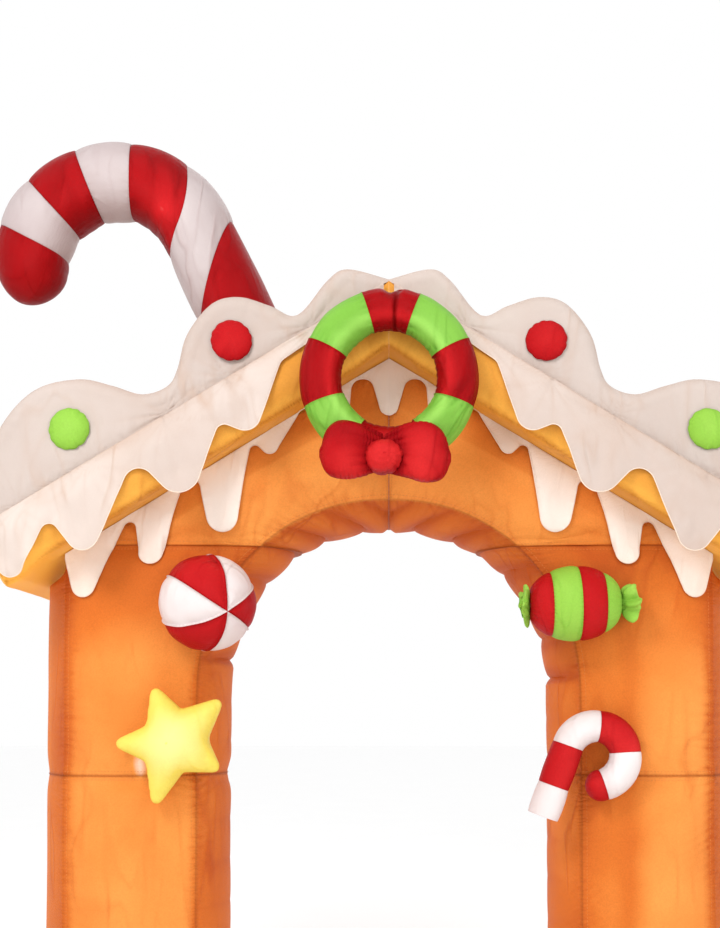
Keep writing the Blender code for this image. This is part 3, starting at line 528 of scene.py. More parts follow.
wall = {
    "halfDepth": 0.25,
    "seamArch": (0.76, 1.356, 0.78),  # half width, spring height, rise
    "clearArch": (0.653, 1.356, 0.68),
    "archPower": 2.1,
    "legOuter": 1.29,
    "legBulge": 0.12,
    "panelBulge": 0.065,
    "panelPower": 2.4,
    "panelDraw": 0.45,
    "sideDraw": 0.07,
    "openingDraw": 0.16,
    "ringSeam": 1.04,
    "levelSeam": 1.95,
    "seamReach": 0.05,
    "panelSteps": 50,
    "gussetSteps": 36,
    "rows": {"leg_base": 104, "leg": 100, "gable": 104},
    "edgeGather": (0.036, 0.009, 0.075),  # spacing, depth and reach
    "endGather": (0.035, 0.006, 0.05),
    "slack": (0.28, 0.004),  # spacing and depth
    "endDip": (0.012, 0.004),  # how far and how deep the cloth sinks beside the seams across
    # tucks across the opening's gusset: how deep, how far apart, and the first one's height
    "tuck": (0.028, 0.165, {-1: 1.504, 1: 1.43}),
    # a painted glow spot on the left leg, as if from a lamp inside: out, up, half width, half
    # height and strength
    "lamp": (-0.975, 1.082, 0.022, 0.05, 1.6),
    # the soft fold down each front, as a share of its width, and how much painted light it gets
    # behind the fold
    "foldAt": {-1: (0.02, 0.5), 1: (0.39, 0.35)},
    "fold": (0.13, 0.06, 0.005),  # over what width the painted light starts past it, its width and depth
    "hubs": ((0.66, 1.97), (0.95, 1.96)),  # where creases spread on the gable
    "hubCreases": (0.2, 0.008),  # how far they reach and how deep they are
    "shadeUnderRoof": (1.5, 0.35, 0.5),  # painted shade under the roof: from what height the legs darken, over what height, how much
    "lines": (0.006, 0.003, 0.004),  # dark seams: across the legs, down the middle, lengthwise
}
roof = {
    "slope": 0.61, "topZ": 2.95, "underZ": 2.705, "halfDepth": 0.45, "length": 1.72,
    "faceBulge": 0.045, "topBulge": 0.05, "lipDip": 0.02, "endReach": 0.1, "endDraw": 0.55,
    "ridge": 0.06, "ridgeFullness": 0.35, "eaveBulge": 0.065, "eaveRings": 14,
    "droop": (0.035, 0.16, 0.1),  # how much the eave's end hangs, from where, and over what length
    "stations": 130, "frontSteps": 24, "topSteps": 46,
    "edgeGather": (0.03, 0.008, 0.06), "eaveGather": (0.045, 0.012, 0.09),
    "ridgeGather": (0.03, 0.006, 0.1), "slack": (0.2, 0.004),
    "rounded": (7, 16),  # the lower edges: how many columns round off, in how many rounds
    "glow": (0.25, 0.45, 0.5, 0.9),  # the painted light on the front, low on it, underneath, at the eave
    "eaveGlow": 0.22,  # how far the painted light reaches from the eave
}


def archHalfWidth(arch, z):
    above = np.maximum(0.0, z - arch[1]) / arch[2]
    power = wall["archPower"]
    return arch[0] * np.maximum(0.0, 1.0 - above ** power) ** (1 / power)


def archTop(arch, x):
    power = wall["archPower"]
    return arch[1] + arch[2] * np.maximum(0.0, 1.0 - (x / arch[0]) ** power) ** (1 / power)


def roofReach(z):
    # how far out the roof's underside is at a height
    return (roof["underZ"] - touchGap - z) / roof["slope"]


def drawnIn(distance):
    return bell(distance, wall["seamReach"])


def wallRings(clear, seam, outer, outerBulge, pinch, side):
    # clear, seam and outer are (rows, 2) places out and up; the rings go front, side, back, opening
    half = wall["halfDepth"]
    clear = clear + (seam - clear) * (wall["openingDraw"] * pinch)[:, None]
    panelBulge = wall["panelBulge"] * (1 - wall["panelDraw"] * pinch)
    out = (outer - seam) / np.linalg.norm(outer - seam, axis=1, keepdims=True)
    share = bunched(wall["panelSteps"] + 1)[:-1]
    crown = 1 - np.abs(2 * share - 1) ** wall["panelPower"]
    across = 2 * np.arange(wall["gussetSteps"]) / wall["gussetSteps"] - 1
    arc = 1 - across ** 2
    parts = []
    for turned in (False, True):
        along = 1 - share if turned else share
        flat = seam[:, None] + (outer - seam)[:, None] * along[None, :, None]
        depth = half + panelBulge[:, None] * crown[None]
        panel = np.stack([flat[..., 0], depth if turned else -depth, flat[..., 1]], -1)
        if turned:
            flat = seam[:, None] + (clear - seam)[:, None] * arc[None, :, None]
        else:
            flat = outer[:, None] + out[:, None] * (outerBulge[:, None] * arc[None])[..., None]
        deep = np.broadcast_to((-across if turned else across) * half, flat.shape[:2])
        parts += [panel, np.stack([flat[..., 0], deep, flat[..., 1]], -1)]
    rings = np.concatenate(parts, axis=1)
    rings[..., 0] *= side
    return rings


def legRings(heights, side):
    pinch = np.minimum(1.0, drawnIn(heights - wall["ringSeam"])
                       + drawnIn(heights - wall["levelSeam"]) + drawnIn(heights))
    seam, clear = (np.stack([archHalfWidth(wall[arch], heights), heights], 1)
                   for arch in ("seamArch", "clearArch"))
    outer = np.stack([np.minimum(wall["legOuter"], roofReach(heights)), heights], 1)
    room = np.maximum(0.0, roofReach(heights + roof["droop"][0]) - outer[:, 0])
    bulge = np.minimum(wall["legBulge"] * (1 - wall["sideDraw"] * pinch), room)
    return wallRings(clear, seam, outer, bulge, pinch, side)


def gableRings(places, side):
    # places run from 0 at the level seam above the leg to 1 at the middle of the wall
    lines = []
    for arch in (wall["seamArch"], wall["clearArch"]):
        out = (1.0 - places) * archHalfWidth(arch, wall["levelSeam"])
        lines.append(np.stack([out, archTop(arch, out)], 1))
    seam, clear = lines
    away = (seam - clear) / np.linalg.norm(seam - clear, axis=1, keepdims=True)
    room = roof["underZ"] - touchGap - seam[:, 1] - roof["slope"] * seam[:, 0]
    outer = seam + away * (room / (away[:, 1] + roof["slope"] * away[:, 0]))[:, None]
    pinch = np.minimum(1.0, drawnIn((outer[:, 0] + seam[:, 0]) / 2) + drawnIn(places * 0.7))
    return wallRings(clear, seam, outer, np.zeros(len(places)), pinch, side)


def wallMesh(kind, rings, side, seed):
    rows, columns = rings.shape[:2]
    panel, gusset = wall["panelSteps"], wall["gussetSteps"]
    opening = 2 * panel + gusset
    around, along = roundLength(rings), runLength(rings, 0)
    place, out, up = around[:, :-1], rings[..., 0], rings[..., 2]
    away, nearest, run = nearestSeam(around, along, [0, panel, panel + gusset, opening, columns])
    ends = np.minimum(along, along[-1:] - along)
    pulled = gather(away, run, seed + nearest, *wall["edgeGather"])
    pulled += gather(ends, place, seed + 40, *wall["endGather"])
    endReach, endDepth = wall["endDip"]
    pulled += endDepth * fade(ends, endReach) * (1 - fade(ends, 0.002))
    # the opening's gusset is tucked across, more and more towards the arch
    column = np.arange(columns)[None, :]
    arc = np.sin(math.pi * unit((column - opening) / gusset)) ** 0.6 * (column >= opening)
    depth, spacing, firstTucks = wall["tuck"]
    first = firstTucks[side]
    if kind == "gable":
        walk, reach = along / spacing + 0.3, 1.0
    else:
        walk = (along + wall["ringSeam"] * (kind == "leg") - first) / spacing
        reach = np.clip((up - first + 0.03) / 0.02, 0.12, 1)
    uneven = 0.12 * wander(along / 0.3, seed + 2) * unit(along - 0.47) * 4
    tuck = np.abs(np.sin(math.pi * (walk + uneven)))
    pulled += depth * reach * arc * (1 - tuck ** 0.35)
    pulled += slack(place, along, *wall["slack"], seed + 60) * (1 - fade(ends, 0.04))
    front, share = column < panel, column / panel
    # painted shade along the front's outer edge, where it turns to the gusset
    edge = bell(share - 1, 0.16) * (column < panel + 8)
    # painted shade high on the legs, under the roof
    darkFrom, darkOver, darkening = wall["shadeUnderRoof"]
    high = unit((up - darkFrom) / darkOver)
    if kind == "gable":
        hubReach, hubDepth = wall["hubCreases"]
        spread = fans(np.abs(out), up, wall["hubs"], seed + 80, hubReach)
        pulled += hubDepth * spread * front
        # painted light low on the gable beside the arch seam; painted shade higher up and in a thin
        # line down the middle seam
        lit = (0.5 + 0.5 * bell(away, 0.2) * (column < panel * 0.62)) * front
        darker = 0.12 * unit(away / 0.3) * front + 0.5 * fade(along[-1:] - along, 0.003)
    else:
        # a soft fold runs down the front; painted light shows past it, painted shade before it
        foldAt, behind = wall["foldAt"][side]
        litOver, foldWidth, foldDepth = wall["fold"]
        past = unit((share - foldAt) / litOver)
        lit = behind + (1 - behind) * past * past * (3 - 2 * past)
        lit = lit * unit((1 - share) / 0.2) * front
        unlit = (1 - behind) * front
        pulled += foldDepth * bell(share - foldAt, foldWidth) * unlit
        darker = (0.45 * edge + darkening * high * front) if kind == "leg" else 0.3 * edge
        darker = darker + 0.12 * unlit * (1 - past)
    glow = lit * (0.65 + 0.35 * folds(out, up, 0.5, seed + 71))
    # a painted glow spot on the left leg, as if a lamp inside shone through
    if side < 0:
        glowSpotOut, glowSpotUp, halfWidth, halfHeight, strength = wall["lamp"]
        spot = bell(out - glowSpotOut, halfWidth) * bell(up - glowSpotUp, halfHeight)
        glow = glow + strength * front * spot
    # less painted light high on the legs, under the roof
    if kind == "leg":
        glow = glow * (1 - 0.9 * high)
    # the seams show as dark lines, the one down the middle of the gable as a thin one
    crossLine, middleLine, longLine = wall["lines"]
    lastLine = middleLine if kind == "gable" else crossLine
    thin = np.where(along < along[-1:] / 2, crossLine, lastLine)
    # painted shade in the opening's gusset and in the valleys of its tucks; the gusset also gets a
    # little painted light
    inside = 0.2 * unit(arc * 3) + 0.9 * reach * arc * (1 - tuck ** 0.3)
    marks = {
        "seam": unit(0.7 * fade(away, 0.03) + 0.55 * fade(ends, 0.009)),
        "along": np.where(ends < away, place, run),
        "glow": glow + 0.2 * unit(arc * 3),
        "line": np.maximum(bell(ends, thin), 0.8 * bell(away, longLine) * (column < panel)),
        "dark": unit(darker + inside),
    }
    mesh = ringMesh(rings, marks)
    smooth = mesh.copy()
    pulledIn(mesh, pulled * (1 - fade(ends, 0.002)))
    return mesh, smooth, placesOf(mesh)[:rows * columns].reshape(rows, columns, 3)


wallSmooth, wallSewn = {}, {}
for sideName, side in sides:
    ringSeam, levelSeam, rows = wall["ringSeam"], wall["levelSeam"], wall["rows"]
    made = {
        "leg_base": legRings(bunched(rows["leg_base"]) * ringSeam, side),
        "leg": legRings(ringSeam + bunched(rows["leg"]) * (levelSeam - ringSeam), side),
        "gable": gableRings(bunched(rows["gable"]), side),
    }
    half = touchGap / 2
    made["leg_base"][-1, :, 2] -= half
    made["leg"][0, :, 2] += half
    made["leg"][-1, :, 2] -= half
    made["gable"][0, :, 2] += half
    made["gable"][-1, :, 0] += side * half
    for seed, (kind, rings) in enumerate(made.items()):
        mesh, smooth, sewn = wallMesh(kind, rings, side, 10.0 * seed + (3 if side > 0 else 0))
        node = f"{kind}_{sideName}"
        wallSmooth[node], wallSewn[node] = smooth, sewn
        addPiece(node, mesh, "orange")
wallTree = {name: treeOf(*[wallSmooth[f"{kind}_{name}"] for kind in wall["rows"]])
            for name, side in sides}
print("wall sewn")


# The roof slabs.

roofAngle = math.atan(roof["slope"])
downSlope = np.array((math.cos(roofAngle), -math.sin(roofAngle)))
roofUp = np.array((math.sin(roofAngle), math.cos(roofAngle)))
roofThick = (roof["topZ"] - roof["underZ"]) * math.cos(roofAngle)
slopeStretch = 1.17  # how much longer the slope is than its level length


def roofLine(out):
    # the height of the slabs' flat top, before air fills it
    return roof["topZ"] - roof["slope"] * out


def roofFullness(along):
    fromEnd = np.minimum(along, roof["length"] - along)
    return 1 - roof["endDraw"] * bell(fromEnd, roof["endReach"])


def slabRings(side):
    # rings along the slope: the underside, the front, the top and the back
    along = bunched(roof["stations"], 0.5) * roof["length"]
    held = np.maximum(along, roof["ridge"])
    near = unit(along / roof["ridge"])[:, None]
    ridge = np.array((0.0, roof["underZ"]))
    onSlope = ridge + downSlope * held[:, None]
    depth, start, length = roof["droop"]
    droop = depth * unit((held - roof["length"] + start) / length)
    under = onSlope - np.stack([droop * 0, droop], 1)
    top = onSlope + roofUp * roofThick
    under = ridge + (under - ridge) * near
    top = np.array((0.0, roof["topZ"])) * (1 - near) + top * near
    full = roof["ridgeFullness"] + (roofFullness(held) - roof["ridgeFullness"]) * near[:, 0]
    up = (top - under) / np.linalg.norm(top - under, axis=1, keepdims=True)
    deep = roof["halfDepth"]
    across = np.linspace(1, -1, roof["topSteps"], endpoint=False)
    pastWall = (np.abs(across) * deep - wall["halfDepth"]) / (deep - wall["halfDepth"])
    dip = roof["lipDip"] * unit(pastWall)
    lip = under - up * (roof["lipDip"] * full)[:, None]
    share = bunched(roof["frontSteps"] + 1, 0.4)[:-1]

    def level(places, across):
        return np.dstack([places[..., 0], np.broadcast_to(across * deep, places.shape[:2]),
                          places[..., 1]])

    def upright(way, share):
        bulge = roof["faceBulge"] * full[:, None] * (1 - (2 * share - 1) ** 2)[None]
        places = lip[:, None] + (top - lip)[:, None] * share[None, :, None]
        return np.dstack([places[..., 0], way * (deep + bulge), places[..., 1]])

    rise = roof["topBulge"] * full[:, None] * (1 - across ** 2)[None]
    rings = np.concatenate([
        level(under[:, None] - up[:, None] * (full[:, None] * dip[None])[..., None], across),
        upright(-1, share),
        level(top[:, None] + up[:, None] * rise[..., None], -across),
        upright(1, 1 - share)], axis=1)
    rings[..., 0] *= side
    rings[0, :, 0] += side * touchGap / 2
    # the lower edges are round, because the cloth there is full of air
    columns = rings.shape[1]
    corner = np.zeros(columns)
    reach, rounds = roof["rounded"]
    for at in (0, roof["topSteps"]):
        gap = np.abs(np.arange(columns) - at)
        corner = np.maximum(corner, unit(1 - np.minimum(gap, columns - gap) / reach))
    for _ in range(rounds):
        beside = (np.roll(rings, 1, 1) + np.roll(rings, -1, 1)) / 2
        rings = rings + (beside - rings) * np.minimum(1, 1.6 * corner)[None, :, None] * 0.5
    # the padded end past the eave
    end = rings[-1]
    centre = end.mean(axis=0)
    outwards = np.array((side * downSlope[0], 0, downSlope[1]))
    extra = [centre + (end - centre) * scale + outwards * roof["eaveBulge"] * (1 - scale ** 2)
             for scale in np.cos(np.linspace(0, 0.96, roof["eaveRings"])[1:] * math.pi / 2)]
    return np.concatenate([rings, np.stack(extra)])


def slabMesh(side, seed):
    rings = slabRings(side)
    rows, columns = rings.shape[:2]
    topSteps, frontSteps = roof["topSteps"], roof["frontSteps"]
    around, along = roundLength(rings), runLength(rings, 0)
    place = around[:, :-1]
    seams = [0, topSteps, topSteps + frontSteps, 2 * topSteps + frontSteps, columns]
    away, nearest, run = nearestSeam(around, along, seams)
    column = np.arange(columns)[None, :]
    beyond = unit((np.arange(rows) - roof["stations"]) / (roof["eaveRings"] - 1))[:, None]
    toEnd = np.abs(along - along[roof["stations"] - 1])
    pulled = gather(away, run, seed + nearest, *roof["edgeGather"]) * (1 - beyond)
    pulled += gather(toEnd, place, seed + 30, *roof["eaveGather"])
    pulled += gather(along, place, seed + 31, *roof["ridgeGather"]) * unit(along / 0.02)
    pulled += slack(place, along, *roof["slack"], seed + 50) * (1 - beyond)
    under = column < topSteps
    pulled = (1 - fade(along, 0.02)) * np.where(under, 0.3, 1) * pulled
    face = (column >= topSteps) & (column < topSteps + frontSteps)
    # painted light on the front, low on the front, underneath and near the eave; painted shade
    # underneath, less near the eave
    nearEave = bell(toEnd, roof["eaveGlow"])
    onFace, onLowFace, onUnder, onEave = roof["glow"]
    lowFace = face * bell((column - topSteps) / frontSteps - 0.12, 0.12)
    marks = {
        "seam": unit(0.7 * fade(away, 0.012) * (1 - beyond) + 0.6 * fade(toEnd, 0.01)),
        "along": np.where(toEnd < away, place, run),
        "glow": unit(onFace * face + onLowFace * lowFace + onUnder * under + onEave * nearEave),
        "dark": 0.15 * under * (1 - nearEave),
    }
    return pulledIn(ringMesh(rings, marks), pulled)


slabMeshes = {}
for sideName, side in sides:
    slabMeshes[sideName] = slabMesh(side, 100.0 + side)
    addPiece(f"roof_slab_{sideName}", slabMeshes[sideName], "amber")
slabTrees = {side: treeOf(slabMeshes[name]) for name, side in sides}
print("roof slabs sewn")


# The icing that stands on the roof, and its spots.

fin = {
    "middleY": -0.385, "frontY": -0.455, "thickness": 0.14, "rounding": 0.068, "power": 2.3,
    "backFootY": -0.34, "columns": 230, "rows": 34,
    "outline": ((0.0, 2.972), (0.16, 3.012), (0.24, 2.968), (0.356, 2.832), (0.46, 2.868),
                (0.582, 2.903), (0.69, 2.875), (0.785, 2.755), (0.822, 2.62), (0.86, 2.553),
                (0.955, 2.522), (1.07, 2.556), (1.2, 2.582), (1.37, 2.54), (1.5, 2.4),
                (1.575, 2.2), (1.6, 2.02)),
    # spacing, depth and reach of the gathers along the sewn edge and along the foot
    "edgeGather": (0.05, 0.012, 0.06), "edgeTucks": (0.022, 0.004, 0.03),
    "footGather": (0.04, 0.009, 0.07), "folds": (0.16, 0.006), "hubDepth": 0.008,
    "edgeTicks": (0.03, 0.014),
    "hubs": (0.3, 0.62, 0.86, 1.15, 1.42),  # where creases spread from the foot
}
spots = {"red": (0.605, 2.716), "green": (1.225, 2.374)}
spot = {"radius": 0.079, "height": 0.035, "rings": 18, "around": 84, "tucks": (0.033, 0.005)}


def roofTopZ(out, deep):
    # the slab's bulging top
    crown = 1 - np.minimum(1, np.abs(deep) / roof["halfDepth"]) ** 2
    return roofLine(out) + roof["topBulge"] * crown * slopeStretch


def slabTop(side, out, deep):
    # where a ray from above meets the slab
    origin = Vector((side * out + wallPlace[0], deep + wallPlace[1], 5.0))
    hit = slabTrees[side].ray_cast(origin, Vector((0, 0, -1)))[0]
    return roofTopZ(out, deep) if hit is None else hit.z


def finMesh(side, seed):
    line = smoothThrough(fin["outline"], 6)
    line[:, 0] = np.maximum(touchGap / 2, line[:, 0])
    outline = np.concatenate([line, [(line[-1, 0], roofLine(line[-1, 0]))]])
    top = evenly(line, fin["columns"])
    rows = bunched(fin["rows"], 0.35)
    half = fin["thickness"] / 2
    hubs = [(x, roofLine(x) + 0.01) for x in fin["hubs"]]
    spacing, depth = fin["folds"]
    panels = []
    for face in (-1, 1):
        if face < 0:
            low = roofTopZ(top[:, 0], half - fin["middleY"]) + 0.002
        else:
            low = np.array([slabTop(side, out, fin["backFootY"]) for out in top[:, 0]]) + 0.001
        out = np.broadcast_to(top[:, 0], (len(rows), len(top)))
        up = low[None] + np.maximum(0.001, top[:, 1] - low)[None] * rows[:, None]
        gap, way = distanceTo(outline, np.stack([out, up], -1))
        inside = unit(gap / fin["rounding"])
        full = half * (1 - (1 - inside) ** fin["power"]) ** (1 / fin["power"])
        lower = up - roofLine(out)
        pull = gather(gap, way, seed, *fin["edgeGather"])
        pull += gather(gap, way, seed + 21, *fin["edgeTucks"])
        pull += gather(np.maximum(lower, 0), out * slopeStretch, seed + 4, *fin["footGather"])
        spread = fans(out, up, hubs, seed + 60)
        sunk = depth + depth * folds(out, up, spacing, seed + 8)
        pull += (sunk + fin["hubDepth"] * spread) * inside
        full = np.maximum(0.0004, full - pull * inside ** 0.5)
        y = fin["middleY"] + face * full
        if face < 0:
            y = np.maximum(y, fin["frontY"] - 0.0008)
        panels.append((np.stack([side * out, y, up], -1), gap, way, lower, spread))
    # one closed sleeve: up the front, over the sewn edge and down the back
    points, gap, way, lower, spread = (np.concatenate([front, back[::-1]]).swapaxes(0, 1)
                                       for front, back in zip(*panels))
    # painted light in soft patches; painted shade in the short creases along the edge and in those
    # that spread from the foot
    glow = 0.5 + 0.5 * folds(points[..., 0], points[..., 2], 0.5, seed + 3)
    tickSpacing, tickLength = fin["edgeTicks"]
    ticks = creases(way, tickSpacing, seed + 33) * fade(gap, tickLength)
    return ringMesh(points, {
        "seam": unit(fade(gap, 0.012) + 0.7 * fade(np.abs(lower), 0.02)) * 0.75, "along": way,
        "glow": 0.4 * unit(glow), "tuck": unit(0.5 * spread + 0.5 * ticks)})


def spotMesh(out, up, side, seed):
    # a round spot, gathered along its sewn rim, with a flat back
    turn = fullTurn(spot["around"])
    share = np.concatenate([np.linspace(0.03, 1, spot["rings"]), [1.0, 0.5, 0.03]])[:, None]
    scallops = np.abs(np.sin(6.5 * turn + 0.6 * np.sin(2 * turn + seed))) ** 0.8
    rim = spot["radius"] * (1.015 - (0.04 + 0.02 * np.sin(3 * turn + seed)) * (1 - scallops)
                            - 0.02 * np.sin(2 * turn + 2 * seed))
    crown = spot["height"] * 0.62 * (1 - share ** 3) ** 0.7
    crown[-3:] = 0.0
    spacing, depth = spot["tucks"]
    tucks = creases(turn * spot["radius"], spacing, seed) * np.exp(-(1 - share) * 6) * depth
    height = np.maximum(0, crown - tucks * (share < 0.99))
    height[-3:] = -0.0005
    points = np.stack([side * out + rim * share * np.cos(turn),
                       fin["frontY"] - touchGap * 3 - height + 0 * turn,
                       up + rim * share * np.sin(turn)], -1)
    # painted shade towards the sewn rim and painted light in the middle
    return ringMesh(points, {"seam": np.exp(-(1 - share) * 9) * 0.3, "along": turn * spot["radius"],
                             "glow": 0.25 * (1 - share)})


for sideName, side in sides:
    addPiece(f"icing_fin_{sideName}", finMesh(side, 200.0 + side), "shadedFinWhite")
    for colour, (out, up) in spots.items():
        mesh = spotMesh(out, up, side, 3.0 + out * 7 + side)
        addPiece(f"{colour}_dot_{sideName}", mesh, colour)
print("standing icing and spots sewn")


# The dripping icing: flat cloth that hangs over the roof's front and lies on the wall.

drips = {"thickness": 0.003, "columnGap": 0.0085, "rows": 26, "arcSteps": 14,
         "seamAllowance": 0.002, "waves": ((0.15, 0.010), (0.06, 0.006)), "offWall": 0.0025}
dripKinds = {
    # outline: tips and notches in turn, as out, up and the radius that rounds them
    "icing_apron": {
        "outline": ((0.02, 2.9, 0.0), (0.37, 2.645, 0.05), (0.545, 2.358, 0.06),
                    (0.624, 2.382, 0.034), (0.798, 2.122, 0.08), (0.947, 2.214, 0.06),
                    (1.156, 1.901, 0.062), (1.285, 2.004, 0.035), (1.43, 1.8, 0.05),
                    (1.5, 1.86, 0.0)),
        "topZ": roof["topZ"], "drop": 0.004, "seed": 309.0, "finish": "white", "held": "hung",
        "on": "roof_slab", "lit": 0.25, "binding": "apron_binding"},
    "wall_icing": {
        "outline": ((0.0, 2.464, 0.035), (0.105, 2.617, 0.047), (0.2, 2.41, 0.04),
                    (0.33, 2.5, 0.03), (0.47, 2.309, 0.03), (0.532, 2.35, 0.022),
                    (0.655, 2.0, 0.06), (0.782, 2.21, 0.04), (0.938, 1.873, 0.046),
                    (1.026, 2.044, 0.028), (1.206, 1.744, 0.05), (1.284, 1.9, 0.0)),
        "topZ": roof["underZ"], "drop": 0.005, "seed": 300.0, "finish": "litIcingWhite",
        "held": "laid", "on": "gable", "lit": 0.85, "binding": "wall_icing_binding"},
}


def dripLine(rows, arcSteps):
    # arcs round the tips and notches, joined by tangents
    turns = [1 if i % 2 == 0 else -1 for i in range(len(rows))]
    centres = [np.array((out, up + turn * size)) for (out, up, size), turn in zip(rows, turns)]
    headings = [0.0]
    for i in range(len(rows) - 1):
        between = centres[i + 1] - centres[i]
        both = rows[i][2] + rows[i + 1][2]
        straight = math.sqrt(max(0.0, between @ between - both ** 2))
        headings.append(math.atan2(between[1], between[0]) + turns[i] * math.atan2(both, straight))
    headings.append(0.0)
    line = []
    for row, turn, centre, start, stop in zip(rows, turns, centres, headings, headings[1:]):
        steps = arcSteps if row[2] else 0
        for i in range(steps + 1):
            heading = start + (stop - start) * i / max(1, steps)
            line.append(centre - np.array((-math.sin(heading), math.cos(heading))) * turn * row[2])
    return np.array(line)


def polygonArea(points):
    x, y = points[:, 0], points[:, 1]
    return abs(np.sum(x * np.roll(y, -1) - y * np.roll(x, -1))) / 2


def clothMesh(front, thickness, marks):
    # a sheet from its front's grid: the back is the same grid, a thickness behind
    points = np.concatenate([front, (front + np.array((0, thickness, 0)))[::-1]]).swapaxes(0, 1)
    both = {name: np.concatenate([grid, grid[::-1]]).T for name, grid in marks.items()}
    return ringMesh(points, both)


def apronDepth(out, up, top, gap, rows, seed):
    # the front of the slab down to its middle, then straight down, with waves and creases
    share = (up - roof["underZ"] + roof["slope"] * out) / (roof["topZ"] - roof["underZ"])
    along = out * downSlope[0] - (up - roof["underZ"]) * math.sin(roofAngle)
    full = roofFullness(np.clip(along, roof["ridge"], roof["length"]))
    full = roof["ridgeFullness"] + (full - roof["ridgeFullness"]) * unit(out / roof["ridge"])
    crown = np.maximum(0, 1 - (2 * np.maximum(share, 0.5) - 1) ** 2)
    y = -roof["halfDepth"] - roof["faceBulge"] * full * crown
    y = y - touchGap - drips["thickness"] - 0.0005
    y -= slack(out, up, 0.13, 0.004, seed + 3) * unit(share * 2) * (1 - rows ** 8)
    (longSpacing, longDepth), (shortSpacing, shortDepth) = drips["waves"]
    wave = (longDepth * folds(out, up, longSpacing, seed)
            + shortDepth * folds(out, up, shortSpacing, seed + 5))
    hang = unit((0.5 - share) * 2)
    y -= np.where(share > 0.5, 0, (wave + 0.008 * np.cos(gap * 24)) * hang)
    y -= 0.010 * bell(top[None] - up, 0.018) * (share > 0.5)
    spread = fans(out, up, [(x, roofLine(x) - 0.02) for x in fin["hubs"]], seed + 70, 0.17)
    return y - 0.006 + 0.006 * np.minimum(1, spread), spread


def laidDepth(out, up, top, gap, way, sideName, side, seed):
    # what rays from the front find of the wall, with its gathers bridged
    y = np.empty(out.shape)
    for i in range(out.shape[0]):
        for j in range(out.shape[1]):
            x, z = min(out[i, j], 1.27), min(up[i, j], top[j] - 0.02)
            origin = Vector((side * x + wallPlace[0], -2.0, z))
            hit = wallTree[sideName].ray_cast(origin, Vector((0, 1, 0)))[0]
            y[i, j] = (hit.y - wallPlace[1]) if hit is not None else -wall["halfDepth"]
    for _ in range(3):
        for step in (1, 2, 4):
            y[step:-step] = np.minimum(y[step:-step], (y[2 * step:] + y[:-2 * step]) / 2)
    y = y - drips["thickness"] - drips["offWall"]
    lift = slack(out, up, 0.09, 0.004, seed) + 0.004 * creases(way, 0.05, seed) * fade(gap, 0.03)
    return y - lift, 0 * out


def dripSheet(node, kind, sideName, side):
    # the mesh, the outline it is cut from, and the edge that a binding follows
    line = dripLine(kind["outline"], drips["arcSteps"])
    line = evenly(line, int(runLength(line, 0)[-1] / drips["columnGap"]))
    line[:, 0] = np.maximum(line[:, 0], touchGap / 2)
    top = kind["topZ"] - roof["slope"] * line[:, 0] - kind["drop"]
    rows = bunched(drips["rows"], 0.3)[:, None]
    out = np.broadcast_to(line[:, 0], (drips["rows"], len(line)))
    up = top[None] + (line[:, 1] - top)[None] * rows
    gap, way = distanceTo(line, np.stack([out, up], -1))
    seed = kind["seed"] + side
    seamTop = fade(top[None] - up, 0.03)
    # peach: painted shade below the top seam, and on the wall icing also towards the middle under
    # the roof, where the orange also shows through the thin white
    if node == "icing_apron":
        y, spread = apronDepth(out, up, top, gap, rows, seed)
        peach = 0.25 * seamTop
    else:
        y, spread = laidDepth(out, up, top, gap, way, sideName, side, seed)
        peach = 0.5 * fade(out, 0.25) + 0.3 * seamTop
    front = np.stack([side * out, y, up], -1)
    # painted light in soft patches; painted shade in the creases that spread from the fins' feet
    # and in soft folds
    marks = {"seam": unit(0.5 * fade(gap, 0.008) + 0.5 * seamTop), "along": way,
             "glow": unit(kind["lit"] + 0.35 * folds(out, up, 0.4, seed + 2)),
             "tuck": unit(0.5 * spread),
             "dark": np.clip(peach + 0.35 * folds(out, up, 0.3, seed + 6), 0, 0.8)}
    cut = np.concatenate([line, [(line[-1, 0], top[-1]), (line[0, 0], top[0])]])
    return clothMesh(front, drips["thickness"], marks), cut, front[-1]


apronMeshes, edgePaths = {}, {}
for sideName, side in sides:
    for node, kind in dripKinds.items():
        mesh, cut, edgePaths[node, sideName] = dripSheet(node, kind, sideName, side)
        if node == "icing_apron":
            apronMeshes[sideName] = mesh
        fullNode = f"{node}_{sideName}"
        piece = addPiece(fullNode, mesh, kind["finish"], sharp=70)
        # the cut is the outline laid flat, turned to lie along the roof's slope
        turned = cut @ np.array(((downSlope[0], roofUp[0]), (downSlope[1], roofUp[1])))
        flatSize = tuple(float(size) + drips["seamAllowance"] for size in np.ptp(turned, axis=0))
        polygonArea(cut)
        print(fullNode, "flat size", [round(size, 3) for size in flatSize], "area",
              round(polygonArea(cut), 4))
frontTree = treeOf(*slabMeshes.values(), *apronMeshes.values())
print("dripping icing hung")


# The wreath: a ring of eight padded lengths, tipped back a little, and its bow.

